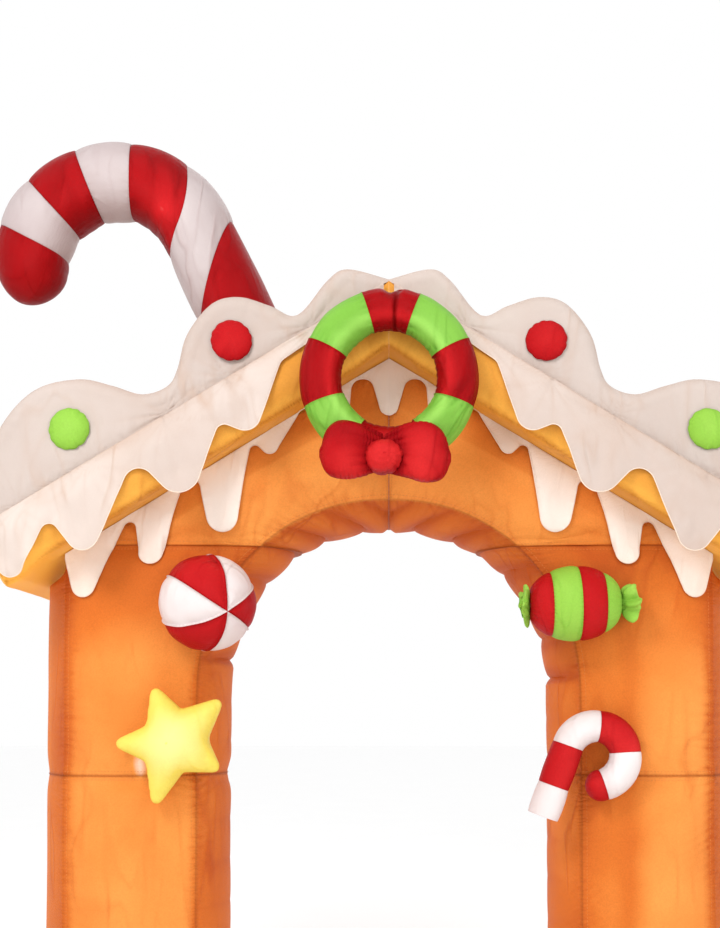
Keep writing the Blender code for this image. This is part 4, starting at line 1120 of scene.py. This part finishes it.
wreath = {
    "centre": (0.0, -0.545, 2.545), "radius": 0.2575, "tube": 0.0825, "tip": math.radians(4),
    "seams": (69, 108, 154, 199, 240, 300, 341, 386, 429),
    "colours": ("deepRed", "shadedGreen") * 4, "around": 64, "rowGap": 0.0065,
    "gather": (0.03, 0.012, 0.045), "slack": (0.07, 0.003),
    "innerCreases": (0.035, 0.006),  # spacing and depth on the ring's inner side
    "topPull": (0.02, 4.5), "topFold": (0.012, 1.6),  # depth, and half width in degrees
}
bow = {
    "centre": (-0.018, -0.645, 2.228), "power": 2.3, "around": 120, "rows": 72,
    # out, half height, half depth and up, from the knot to the lobe's end
    "lobe": ((0.0015, 0.076, 0.020, 0.018), (0.03, 0.085, 0.026, 0.023),
             (0.06, 0.097, 0.040, 0.026), (0.09, 0.1055, 0.056, 0.0275),
             (0.13, 0.113, 0.068, 0.027), (0.17, 0.1105, 0.066, 0.026),
             (0.2, 0.097, 0.056, 0.021), (0.219, 0.076, 0.043, 0.017),
             (0.232, 0.046, 0.024, 0.014), (0.238, 0.014, 0.008, 0.012)),
    "lobeGather": (0.022, 0.013, 0.028), "lobeSlack": (0.08, 0.004),
    "knotCreases": (0.04, 0.010, 0.05),  # spacing, depth and reach of what spreads from the knot
    "knot": (0.074, 0.070, 0.08), "knotRows": 44, "knotAround": 96,
    "knotGather": (0.024, 0.011, 0.04), "knotSlack": (0.05, 0.003),
    "right": (1.035, 0.013),  # how much larger the right lobe is, and how much its end hangs down
}


def ringPoint(angle, radius):
    # one round of the wreath's tube
    tip = Matrix.Rotation(wreath["tip"], 3, "X")
    out = np.array(tip @ Vector((math.cos(angle), 0, math.sin(angle))))
    deep = np.array(tip @ Vector((0, 1, 0)))
    turn = fullTurn(wreath["around"]).T
    return np.array(wreath["centre"]) + out * wreath["radius"] + (
        out * np.cos(turn) + deep * np.sin(turn)) * radius


def wreathMesh(start, stop, seed):
    inset = 0.5 * touchGap / wreath["radius"]
    length = math.radians(stop - start) * wreath["radius"]
    share = bunched(max(24, int(length * 1.3 / wreath["rowGap"])), 0.5)
    angles = math.radians(start) + inset + (math.radians(stop - start) - 2 * inset) * share
    fat = 0.965 + 0.035 * np.sin(math.pi * unit(share)) ** 0.5
    points = np.stack([ringPoint(a, wreath["tube"] * f) for a, f in zip(angles, fat)])
    turn = fullTurn(wreath["around"])
    along = share[:, None] * length + 0 * turn
    ends = np.minimum(along, length - along)
    rounds = turn * wreath["tube"]
    pulled = gather(ends, rounds, seed, *wreath["gather"])
    pulled += slack(rounds, along, *wreath["slack"], seed + 4)
    inner = bell(turn - math.pi, 0.7)
    spacing, depth = wreath["innerCreases"]
    crumple = creases(along + 0.02 * wander(turn * 2, seed), spacing, seed + 8)
    pulled += depth * inner * crumple
    # the topmost length is drawn in where the ring is tied to the roof
    fromTop = np.degrees(angles)[:, None] - 90
    (pullDepth, pullWidth), (foldDepth, foldWidth) = wreath["topPull"], wreath["topFold"]
    pulled += pullDepth * unit(np.cos(turn)) * bell(fromTop + 1, pullWidth)
    fold = bell(fromTop + 8 + 3 * np.sin(turn), foldWidth) * (np.sin(turn) < 0)
    pulled = (pulled + foldDepth * fold) * (1 - fade(ends, 0.004))
    # painted shade on the ring's inner side and in the fold at the top, and a painted highlight
    # along the front of its inner side
    marks = {"seam": unit(0.6 * fade(ends, sewnCloth["mark"]) + 0.3 * inner), "along": rounds,
             "glow": 0.6 * bell(turn - 4.26, 0.3) + 0.1, "dark": 0.8 * fold}
    mesh = gridMesh(points + wallPlace, along, roundLength(points), marks)
    return restAgainst(pulledIn(mesh, pulled), frontTree)


def ovalRing(centre, first, second, power, count):
    turn = fullTurn(count).T
    c, s = np.cos(turn), np.sin(turn)
    return (np.array(centre) + np.array(first) * np.sign(c) * np.abs(c) ** (2 / power)
            + np.array(second) * np.sign(s) * np.abs(s) ** (2 / power))


def bowLobeMesh(side, seed):
    # a front and a back panel, sewn together along the top, the end and the bottom
    larger, lower = bow["right"] if side > 0 else (1.0, 0.0)
    rings = []
    for out, high, deep, up in evenly(smoothThrough(bow["lobe"], 10), bow["rows"]):
        back = 0.03 * math.exp(-out / 0.05)
        middle = np.array((side * out * larger, back, up - lower * out / 0.2))
        rings.append(ovalRing(np.array(bow["centre"]) + middle, (0, 0, high * larger),
                              (0, deep, 0), bow["power"], bow["around"]))
    points = np.stack(rings)
    around, along = roundLength(points), runLength(points, 0)
    place, whole = around[:, :-1], around[:, -1:]
    toSeam = np.minimum(np.minimum(place, whole - place), np.abs(place - whole / 2))
    toEnd = along[-1:] - along
    rounds = place / whole * 0.6
    run = np.where(toEnd < toSeam, rounds, along)
    start = np.abs(points[..., 0] - bow["centre"][0])
    away = np.minimum(toSeam, toEnd)
    spacing, depth, reach = bow["knotCreases"]
    byKnot = fade(np.maximum(0, start - 0.05), reach)
    pulled = gather(away, run, seed, *bow["lobeGather"])
    pulled += depth * byKnot * creases(rounds, spacing, seed + 5)
    pulled += slack(rounds, along, *bow["lobeSlack"], seed + 2) * unit(toEnd / 0.02)
    # painted shade towards the top of the lobe, painted light low in its middle
    high = (points[..., 2] - bow["centre"][2]) / 0.1
    marks = {"seam": unit(fade(np.maximum(0, start - 0.06), 0.012) + 0.6 * fade(away, 0.007)),
             "along": run, "dark": np.clip(0.05 + 0.35 * high, 0, 0.5),
             "glow": 0.7 * bell(start - 0.13, 0.07) * unit(0.75 - 0.5 * high)}
    return pulledIn(ringMesh(points, marks), pulled)


def knotMesh(seed):
    # a round front and back, gathered where they are sewn together
    wide, high, deep = bow["knot"]
    points = np.stack([
        ovalRing(np.array(bow["centre"]) + np.array((0, deep * math.cos(a), 0)),
                 (wide * math.sin(a), 0, 0), (0, 0, high * math.sin(a)), 2, bow["knotAround"])
        for a in np.linspace(0.03, 0.97, bow["knotRows"]) * math.pi])
    around, along = roundLength(points), runLength(points, 0)
    away = np.abs(along - along[-1:] / 2)
    rounds = fullTurn(bow["knotAround"]) * 0.075
    pulled = gather(away, rounds, seed, *bow["knotGather"]) + 0.002 * fade(away, 0.01)
    pulled += slack(around[:, :-1], along, *bow["knotSlack"], seed + 1)
    # painted light away from the seam round the knot
    marks = {"seam": unit(0.8 * fade(away, 0.01)), "along": rounds, "glow": 0.7 * unit(away / 0.05)}
    return pulledIn(ringMesh(points, marks), pulled)


wreathMeshes = []
for number, colour in enumerate(wreath["colours"], start=1):
    start, stop = wreath["seams"][number - 1:number + 1]
    wreathMeshes.append(wreathMesh(start, stop, 400.0 + number * 3))
    addPiece(f"wreath_{number}", wreathMeshes[-1], colour)
wreathTree = treeOf(*wreathMeshes)
bowLobes = []
for sideName, side in sides:
    bowLobes.append(restAgainst(bowLobeMesh(side, 450.0 + side), wreathTree))
    addPiece(f"bow_lobe_{sideName}", bowLobes[-1], "red")
knot = restAgainst(knotMesh(460.0), treeOf(*bowLobes, *wreathMeshes))
addPiece("bow_knot", knot, "red")
print("wreath and bow sewn")


# The peppermint, the wrapped sweet and the star.

mint = {
    "centre": (-0.7, -0.39, 1.711), "radius": 0.19, "facing": (0.515, -0.824, -0.237), "gores": 6,
    "start": math.radians(26), "twist": math.radians(5), "stations": 64, "steps": 26,
    "gather": (0.022, 0.006, 0.03), "slack": (0.06, 0.0025), "seamDip": (0.016, 0.010),
    "colours": ("red", "candyWhite") * 3,
}
sweet = {
    "centre": (0.72, -0.375, 1.71), "turn": math.radians(-2), "radius": 0.147, "neck": 0.05,
    "edges": (-0.175, -0.094, 0.012, 0.11, 0.175), "stripes": ("red", "green", "red", "green"),
    "rows": 34, "around": 84, "gather": (0.024, 0.007, 0.03), "seamDip": (0.01, 0.005),
    "endCreases": (0.045, 0.014), "creasedFrom": (0.12, 0.055),
    "frill": {"start": 0.178, "neck": 0.03, "rim": 0.064, "folds": 5, "depth": 0.26,
              "rows": (26, 14), "around": 112, "ends": {"left": 0.203, "right": 0.238}},
}
star = {
    "centre": (-0.842, -0.365, 1.172), "tipRound": 0.022, "around": 180, "rings": 34,
    "fullness": 0.115, "gather": (0.026, 0.010, 0.035), "slack": (0.06, 0.004),
    # which way each arm points, its reach, and the notch after it
    "arms": ((107, 0.222, 0.113), (181, 0.214, 0.118), (256, 0.245, 0.122), (331, 0.215, 0.142),
             (400, 0.252, 0.134)),
    # the net that the air's fullness is worked out on: its mesh, half its count, its rounds
    "net": (0.005, 55, 1500),
}


def mintGoreMesh(index):
    # one sixth of the ball, from its outer side to the middle line through it
    facing = Vector(mint["facing"]).normalized()
    across = facing.cross(Vector((0, 0, 1))).normalized()
    up = across.cross(facing)
    facing, across, up = np.array(facing), np.array(across), np.array(up)
    centre, radius = np.array(mint["centre"]), mint["radius"]
    width = 2 * math.pi / mint["gores"]
    dipReach, dipDepth = mint["seamDip"]
    share = bunched(mint["steps"] + 1, 0.5)
    rings, seams, runs = [], [], []
    for a in math.pi * (0.035 + 0.93 * np.linspace(0, 1, mint["stations"] + 1)):
        reach = radius * math.sin(a)
        start = width * index + mint["start"] + mint["twist"] * math.sin(a)
        middle = start + width / 2
        hub = centre + facing * radius * math.cos(a)
        heart = hub + (across * math.cos(middle) + up * math.sin(middle)) * touchGap * 2
        inset = touchGap / reach
        turn = (start + inset + (width - 2 * inset) * share)[:, None]
        away = np.minimum(share, 1 - share) * width * reach
        run = radius * a + 0 * share
        dip = gather(away, run + (share > 0.5) * 0.013, 20.0 + index, *mint["gather"])
        dip += dipDepth * fade(away, dipReach) * (1 - fade(away, 0.004))
        dip += slack(run, share * width * reach, *mint["slack"], 30.0 + index)
        shell = hub + (across * np.cos(turn) + up * np.sin(turn)) * reach
        inward = (shell - centre) / radius
        rings.append(np.concatenate([heart[None], shell - inward * dip[:, None]]))
        seams.append(np.concatenate([[0.0], fade(away, sewnCloth["mark"])]))
        runs.append(np.concatenate([[radius * a], run]))
    # a little painted light all over
    return ringMesh(np.stack(rings), {"seam": unit(np.stack(seams)), "along": np.stack(runs),
                                      "glow": 0.2})


def sweetRadius(along):
    share = np.minimum(1.0, np.abs(along) / sweet["edges"][-1])
    return sweet["neck"] + (sweet["radius"] - sweet["neck"]) * (1 - share ** 1.9) ** 0.6


def sweetPlace(points):
    turn = np.array(Matrix.Rotation(sweet["turn"], 3, "Y"))
    return points @ turn.T + np.array(sweet["centre"])


def sweetStripeMesh(start, stop, seed):
    share = bunched(sweet["rows"], 0.5)
    along = start + touchGap / 2 + (stop - start - touchGap) * share
    turn = fullTurn(sweet["around"])
    reach = sweetRadius(along)[:, None]
    ends = np.minimum(share, 1 - share)[:, None] * (stop - start)
    rounds = turn * sweet["radius"]
    dipReach, dipDepth = sweet["seamDip"]
    dip = gather(ends, rounds, seed, *sweet["gather"]) + dipDepth * fade(ends, dipReach)
    (first, over), (spacing, depth) = sweet["creasedFrom"], sweet["endCreases"]
    outer = np.maximum(0, np.abs(along) - first)[:, None] / over
    dip += depth * outer * creases(rounds, spacing, seed + 2)
    reach = reach - dip * np.minimum(1, reach / 0.06)
    points = np.stack([along[:, None] + 0 * turn, reach * np.cos(turn), reach * np.sin(turn)], -1)
    # a little painted light all over
    return ringMesh(sweetPlace(points), {
        "seam": unit(fade(ends, sewnCloth["mark"])), "along": rounds, "glow": 0.2})


def frillMesh(side, end, seed):
    # the wrapper's gathered end opens in folds to a wavy rim, and turns back inside
    frill = sweet["frill"]
    outwards, back = frill["rows"]
    out = np.concatenate([np.linspace(0, 1, outwards), [1.0], np.linspace(1, 0.25, back)])[:, None]
    inside = np.concatenate([np.zeros(outwards), [0.5], np.ones(back)])[:, None]
    turn = fullTurn(frill["around"])
    opening = np.sin(out * 2.0) ** 1.2
    swing = frill["folds"] * turn + 1.4 * np.sin(turn + seed) + 2.5 * out
    wave = 1 + frill["depth"] * opening * np.cos(swing)
    wave = wave + 0.12 * opening * np.sin(11 * turn + 5 * out + 2 * seed)
    reach = (frill["neck"] + (frill["rim"] - frill["neck"]) * opening) * wave - 0.003 * inside
    reach = reach * np.where((inside > 0.9) & (out < 0.3), 0.25, 1)
    x = frill["start"] + (end - frill["start"]) * (out - 0.25 * inside * (1 - out))
    x = x + 0.010 * opening * np.sin(2 * turn + 1.0) + 0.004 * opening * np.sin(7 * turn + 2 * seed)
    points = np.stack([side * x, reach * np.cos(turn), reach * np.sin(turn)], -1)
    # painted shade at the gathered neck, painted light towards the rim
    return ringMesh(sweetPlace(points), {"seam": unit(fade(out, 0.25)), "along": turn * 0.08,
                                         "glow": 0.45 * out})


def towards(angle):
    return np.array((math.cos(angle), math.sin(angle)))


def starOutline():
    # tips rounded off, sides swelling a little between tip and notch; out and up from the middle
    line = []
    ways = [way for way, _, _ in star["arms"]]
    for (way, tip, notch), after in zip(star["arms"], ways[1:] + [ways[0] + 360]):
        middle = math.radians(way)
        for turn in np.linspace(-72, 72, 9):
            line.append(towards(middle) * (tip - star["tipRound"])
                        + towards(middle + math.radians(turn)) * star["tipRound"])
        line.append(towards(math.radians((way + after) / 2)) * notch)
    line = evenly(np.array(line + [line[0]]), star["around"] + 1)
    for _ in range(3):
        line = (line + np.roll(line[:-1], 1, 0)[list(range(len(line) - 1)) + [0]]
                + np.concatenate([line[1:], line[1:2]])) / 3
    return line


def pillow(line, grid):
    # how full air makes a shape sewn round this line, from 0 at the line to 1 at the fullest place
    step, size, rounds = star["net"]
    axis = np.arange(-size, size + 1) * step
    out, up = np.meshgrid(axis, axis, indexing="ij")
    inside = np.zeros(out.shape, bool)
    for (x0, z0), (x1, z1) in zip(line[:-1], line[1:]):
        crosses = (z0 > up) != (z1 > up)
        inside ^= crosses & (out < (x1 - x0) * (up - z0) / (z1 - z0 if z1 != z0 else 1.0) + x0)
    raised = np.zeros(out.shape)
    for _ in range(rounds):
        beside = (np.roll(raised, 1, 0) + np.roll(raised, -1, 0)
                  + np.roll(raised, 1, 1) + np.roll(raised, -1, 1)) / 4
        raised = np.where(inside, beside + 1.0, 0.0)
    raised = raised / raised.max()
    at = (grid / step + size).clip(0, 2 * size - 1.001)
    low = at.astype(int)
    (i, j), (u, v) = np.moveaxis(low, -1, 0), np.moveaxis(at - low, -1, 0)
    return np.sqrt(raised[i, j] * (1 - u) * (1 - v) + raised[i + 1, j] * u * (1 - v)
                   + raised[i, j + 1] * (1 - u) * v + raised[i + 1, j + 1] * u * v)


def starMesh():
    # two star-shaped panels, sewn together round the edge and full of air
    line = starOutline()
    shares = 1 - bunched(star["rings"], 0.3)[:-1] * 0.985
    grid = line[None, :-1] * shares[:, None, None]
    gap, way = distanceTo(line, grid)
    raised = pillow(line, grid)
    pull = gather(gap, way, 7.0, *star["gather"])
    pull += slack(grid[..., 0], grid[..., 1], *star["slack"], 8.0)
    full = np.maximum(0.0, star["fullness"] * raised - pull * unit(gap / 0.02))
    front = np.stack([grid[..., 0], -full, grid[..., 1]], -1)
    points = np.concatenate([front[::-1], (front * np.array((1, -1, 1)))[1:]])
    # painted light on the fullest part, painted shade along the sewn edge
    both = {"seam": fade(gap, 0.009) * 0.7, "along": way, "glow": 0.7 * raised ** 3}
    marks = {name: np.concatenate([values[::-1], values[1:]]) for name, values in both.items()}
    return ringMesh(points + np.array(star["centre"]), marks)


for index, colour in enumerate(mint["colours"]):
    mesh = restAgainst(mintGoreMesh(index), wallTree["left"])
    addPiece(f"mint_gore_{index + 1}", mesh, colour, sharp=75)
for number, colour in enumerate(sweet["stripes"], start=1):
    mesh = sweetStripeMesh(*sweet["edges"][number - 1:number + 1], 500.0 + number)
    addPiece(f"sweet_stripe_{number}", restAgainst(mesh, wallTree["right"]), colour)
for sideName, side in sides:
    mesh = frillMesh(side, sweet["frill"]["ends"][sideName], 2.0 + side)
    addPiece(f"sweet_frill_{sideName}", restAgainst(mesh, wallTree["right"]), "green")
addPiece("star", restAgainst(starMesh(), wallTree["left"]), "yellow")
print("sweets sewn")


# The candy canes: a hook and a shaft in one upright plane, striped round.

largeCane = {
    "hook": (-1.15, 0.05, 3.176), "hookRadius": 0.37, "tube": 0.1645, "lean": 25, "hookEnd": 172,
    "tip": 0.205, "shaft": 0.7, "side": 1, "around": 72, "rowGap": 0.008,
    # each seam's way along the cane, on the hook's outer side and on its inner side
    "seams": ((-0.03, -0.37), (0.198, -0.06), (0.376, 0.319), (0.548, 0.539), (0.719, 0.754),
              (0.878, 0.955)),
    "colours": ("deepRed", "caneWhite", "deepRed", "caneWhite", "deepRed", "caneWhite", "deepRed"),
    # lit: painted light all over; shine: where a painted highlight sits
    "gatherDepth": 0.010, "lit": 0.0, "shine": (-0.95, -0.1, 3.369),
}
smallCane = {
    "hook": (0.802, -0.352, 1.1205), "hookRadius": 0.115, "tube": 0.0644, "lean": 20,
    "hookEnd": 266, "tip": 0.05, "shaft": 0.29, "side": -1, "around": 48, "rowGap": 0.005,
    "seams": ((-0.165, -0.165), (0.0, 0.0), (0.152, 0.153), (0.31, 0.3), (0.47, 0.48)),
    "colours": ("candyWhite", "red") * 3,
    # lit: painted light all over; shine: where a painted highlight sits
    "gatherDepth": 0.006, "lit": 0.15, "shine": (0.95, -0.42, 1.15),
}


def caneLength(cane):
    return math.radians(cane["hookEnd"] - cane["lean"]) * cane["hookRadius"] + cane["tip"]


def caneStripeMesh(cane, first, last, seed, foot=None):
    side, radius, tube = cane["side"], cane["hookRadius"], cane["tube"]
    atTip = last[0] == caneLength(cane)
    length = abs(sum(last) - sum(first)) / 2
    share = bunched(max(20, int(length * 1.2 / cane["rowGap"])), 0.5)[:, None]
    fat = 1 - 0.06 * (1 - np.sin(math.pi * unit(share)) ** 0.5)
    if atTip:
        share = 1 - (1 - share) ** 1.6
        fat = fat * (0.1 + 0.9 * (1 - share ** 2.4) ** 0.6)
    turn = fullTurn(cane["around"])
    lean = np.cos(turn)
    start, stop = ((seam[0] + seam[1] + (seam[0] - seam[1]) * lean) / 2 for seam in (first, last))
    if foot:
        start = foot(turn)
    along = start + touchGap + (stop - start - 2 * touchGap) * share
    low, high = math.radians(cane["lean"]), math.radians(cane["hookEnd"])
    bend = np.clip(low + along / radius, low, high)
    beyond = along - (bend - low) * radius
    out = np.stack([side * np.cos(bend), 0 * bend, np.sin(bend)], -1)
    on = np.stack([-side * np.sin(bend), 0 * bend, np.cos(bend)], -1)
    push = out * lean[..., None] + np.stack([0 * bend, np.sin(turn) + 0 * bend, 0 * bend], -1)
    rounds = turn * tube + 0 * along
    ends = (share if atTip else np.minimum(share, 1 - share)) * np.abs(stop - start)
    dip = gather(ends, rounds, seed, tube * 0.24, cane["gatherDepth"], tube * 0.35)
    # the hook's inner side is slack and folds across
    inner = unit(-lean) ** 2 * (bend > low + 0.02)
    dip += tube * 0.03 * inner * creases(along, tube * 0.6, seed + 6)
    dip += slack(rounds, along, tube, tube * 0.018, seed + 7)
    points = (np.array(cane["hook"]) + out * radius + on * beyond[..., None]
              + push * (tube * fat * (1 - np.minimum(dip / tube, 0.3)))[..., None])
    # painted light along the front, a painted highlight round the shine place, and painted shade in
    # the dips and on the hook's inner side
    fromHighlight = np.linalg.norm(points - np.array(cane["shine"]), axis=-1) / tube
    glow = cane["lit"] + 0.3 * bell(turn - 4.3, 0.7)
    marks = {"seam": unit(0.45 * fade(ends, tube * 0.04) + 0.25 * inner), "along": rounds,
             "glow": glow + 0.5 * bell(fromHighlight, 0.6) + 0.35 * bell(fromHighlight, 0.2),
             "tuck": np.clip(dip / 0.012 - 0.3, 0, 0.6)}
    return gridMesh(points + wallPlace, along - along.min(), roundLength(points), marks)


def roofFoot(turn):
    # where the large cane's shaft meets the roof, at each angle round it
    lean = math.radians(largeCane["lean"])
    out = np.array((math.cos(lean), 0, math.sin(lean)))
    down = Vector((math.sin(lean), 0, -math.cos(lean)))
    found = []
    for a in turn.ravel():
        away = out * (largeCane["hookRadius"] + largeCane["tube"] * math.cos(a))
        away = away + np.array((0, largeCane["tube"] * math.sin(a), 0))
        origin = Vector(np.array(largeCane["hook"]) + away + wallPlace)
        found.append(backGap - slabTrees[-1].ray_cast(origin, down)[3])
    return np.array(found)[None, :]


for name, cane, tree, foot in (("small", smallCane, wallTree["right"], None),
                               ("large", largeCane, None, roofFoot)):
    tip = caneLength(cane)
    seams = ((-cane["shaft"], -cane["shaft"]), *cane["seams"], (tip, tip))
    for number, colour in enumerate(cane["colours"], start=1):
        mesh = caneStripeMesh(cane, *seams[number - 1:number + 1],
                              600.0 + number * 2 + cane["tube"], foot if number == 1 else None)
        if tree:
            restAgainst(mesh, tree)
        addPiece(f"{name}_cane_stripe_{number}", mesh, colour)
print("canes sewn")


# Thread and bindings, laid along the seams and edges by Geometry Nodes.

stitches = {"pitch": 0.013, "length": 0.0075, "thickness": 0.0009, "lift": 0.0006, "seed": 4,
            "fromSeam": 4}
binding = {"thickness": 0.0022, "sides": 8, "lift": 0.0015, "hidden": 3}


class Sewing:
    # a tree of geometry nodes that grows something along a path
    kinds = {float: "NodeSocketFloat", int: "NodeSocketInt"}

    def __init__(self, name, inputs):
        self.tree = bpy.data.node_groups.new(name, "GeometryNodeTree")
        for way in ("INPUT", "OUTPUT"):
            self.tree.interface.new_socket("Geometry", in_out=way, socket_type="NodeSocketGeometry")
        self.values = {}
        for label, value in inputs.items():
            kind = self.kinds.get(type(value), "NodeSocketMaterial")
            socket = self.tree.interface.new_socket(label, in_out="INPUT", socket_type=kind)
            socket.default_value = value
            self.values[socket.identifier] = value
        self.given = self.tree.nodes.new("NodeGroupInput").outputs
        self.result = self.tree.nodes.new("NodeGroupOutput").inputs[0]
        self.path = self.place("GeometryNodeMeshToCurve", {}, {"Mesh": self.given["Geometry"]})

    def place(self, kind, settings, sockets, output=0):
        made = self.tree.nodes.new(kind)
        for label, value in settings.items():
            setattr(made, label, value)
        for slot, value in sockets.items():
            if isinstance(value, bpy.types.NodeSocket):
                self.tree.links.new(value, made.inputs[slot])
            else:
                made.inputs[slot].default_value = value
        return made.outputs[output]

    def done(self, geometry):
        real = self.place("GeometryNodeRealizeInstances", {}, {"Geometry": geometry})
        cloth = self.place("GeometryNodeSetMaterial", {}, {
            "Geometry": real, "Material": self.given["Material"]})
        self.tree.links.new(cloth, self.result)
        return self


def stitchTree():
    # short lengths of thread, one every pitch, lying along the path
    sewing = Sewing("stitches_along", {
        "Pitch": stitches["pitch"], "Length": stitches["length"], "Seed": stitches["seed"],
        "Thickness": stitches["thickness"], "Material": finishes["orange_thread"]})
    given = sewing.given
    spaced = sewing.place("GeometryNodeResampleCurve", {"mode": "LENGTH"},
                          {"Curve": sewing.path, "Length": given["Pitch"]})
    thread = sewing.place("GeometryNodeMeshCylinder", {}, {
        "Vertices": 5, "Radius": given["Thickness"], "Depth": given["Length"]})
    tangent = sewing.place("GeometryNodeInputTangent", {}, {})
    aim = sewing.place("FunctionNodeAlignRotationToVector", {"axis": "Z"}, {"Vector": tangent})
    uneven = sewing.place("FunctionNodeRandomValue", {"data_type": "FLOAT_VECTOR"}, {
        "Min": (0.85, 0.85, 0.8), "Max": (1.15, 1.15, 1.1), "Seed": given["Seed"]})
    return sewing.done(sewing.place("GeometryNodeInstanceOnPoints", {}, {
        "Points": spaced, "Instance": thread, "Rotation": aim, "Scale": uneven}))


def bindingTree():
    # a thin folded binding that follows an edge
    sewing = Sewing("binding_along", {
        "Thickness": binding["thickness"], "Sides": binding["sides"],
        "Material": finishes["binding"]})
    ring = sewing.place("GeometryNodeCurvePrimitiveCircle", {}, {
        "Resolution": sewing.given["Sides"], "Radius": sewing.given["Thickness"]})
    return sewing.done(sewing.place("GeometryNodeCurveToMesh", {}, {
        "Curve": sewing.path, "Profile Curve": ring, "Fill Caps": True}))


def sewAlong(name, paths, sewing, finish):
    # paths are lists of points; the tree's result becomes a plain mesh
    verts, edges = [], []
    for path in paths:
        first = len(verts)
        verts += [tuple(point) for point in path]
        edges += [(first + i, first + i + 1) for i in range(len(path) - 1)]
    guide = bpy.data.meshes.new("path")
    guide.from_pydata(verts, edges, [])
    holder = linked("path", guide)
    grow = holder.modifiers.new("sewing", "NODES")
    grow.node_group = sewing.tree
    for identifier, value in sewing.values.items():
        grow[identifier] = value
    bpy.context.view_layer.update()
    grown = holder.evaluated_get(bpy.context.evaluated_depsgraph_get())
    mesh = bpy.data.meshes.new_from_object(grown)
    bpy.data.objects.remove(holder)
    addPiece(name, faceOut(mesh), finish, solid=False)


def wallPaths(sideName):
    # lines beside the wall's seams, on the front (way -1) and on the back (way 1)
    panel, gusset, beside = wall["panelSteps"], wall["gussetSteps"], stitches["fromSeam"]
    backFirst = panel + gusset
    paths = []

    def add(points, way):
        paths.append(points + np.array((0, way, 0)) * stitches["lift"])

    for kind in wall["rows"]:
        grid = wallSewn[f"{kind}_{sideName}"]
        outermost = panel - (9 if kind == "gable" else beside)
        for column, way in ((beside, -1), (outermost, -1), (backFirst + beside, 1),
                            (backFirst + panel - beside, 1)):
            add(grid[3:-3, column], way)
        for row in (beside, -beside - 1)[kind == "leg_base":]:
            add(grid[row, 2:panel - 1], -1)
            add(grid[row, backFirst + 2:backFirst + panel - 1], 1)
    return paths


stitching, folded = stitchTree(), bindingTree()
for sideName, side in sides:
    sewAlong(f"wall_stitches_{sideName}", wallPaths(sideName), stitching, "orange_thread")
    for node, kind in dripKinds.items():
        edge = edgePaths[node, sideName][binding["hidden"]:] + wallPlace
        edge = edge + np.array((0, binding["lift"], 0))
        sewAlong(f"{kind['binding']}_{sideName}", [edge], folded, "binding")
print("seams stitched and edges bound")


# Floor, lights and camera.

studio = {
    "world": 1.0,
    "lens": 48.93,
    "sensor": 36,
    "camera": (0.0374, -5.136, 1.299),
    "shift": (-0.031, 0.215),
    "tilt": 2.1,
    "floorSize": 40.0,
    "floorZ": -0.002,
    "floorColours": ((0.97, 0.97, 0.97), (0.99, 0.99, 0.99)),
    "lights": (
        # place, what it faces, size, watts
        ((-2.4, -4.0, 4.8), (-0.2, 0.0, 1.8), 1.8, 130),
        ((2.8, -3.6, 3.2), (0.2, 0.0, 1.8), 2.4, 38),
        ((0.0, 3.0, 4.6), (0.0, 0.0, 2.0), 3.0, 20),
    ),
}

shape = bmesh.new()
bmesh.ops.create_grid(shape, x_segments=2, y_segments=2, size=studio["floorSize"])
floorMesh = bpy.data.meshes.new("floor")
shape.to_mesh(floorMesh)
shape.free()
floor = linked("studio_floor", floorMesh)
floor.location.z = studio["floorZ"]
paper = Finish("pale_studio_floor")
cloudy = paper.noise(paper.objectPlace(), 1.5, 2.0)
floorMesh.materials.append(paper.wire(Base_Color=paper.mixed(cloudy, *studio["floorColours"]),
                                      Roughness=0.9))

world = bpy.data.worlds.new("studio")
bpy.context.scene.world = world
world.use_nodes = True
background = world.node_tree.nodes["Background"].inputs
background["Color"].default_value = (1.0, 1.0, 1.0, 1.0)
background["Strength"].default_value = studio["world"]
for number, (place, aim, size, watts) in enumerate(studio["lights"], start=1):
    lamp = bpy.data.lights.new(f"soft_light_{number}", "AREA")
    lamp.size, lamp.energy, lamp.shape = size, watts, "DISK"
    holder = linked(lamp.name, lamp)
    holder.location = place
    facing = Vector(aim) - Vector(place)
    holder.rotation_euler = facing.to_track_quat("-Z", "Y").to_euler()

lens = bpy.data.cameras.new("photo_view")
lens.lens, lens.sensor_width, lens.sensor_fit = studio["lens"], studio["sensor"], "AUTO"
lens.shift_x, lens.shift_y = studio["shift"]
camera = linked("photo_view", lens)
camera.location = studio["camera"]
camera.rotation_euler = (math.radians(90 + studio["tilt"]), 0, 0)
bpy.context.scene.camera = camera
bpy.context.scene.view_settings.view_transform = "Standard"

print("scene ready")
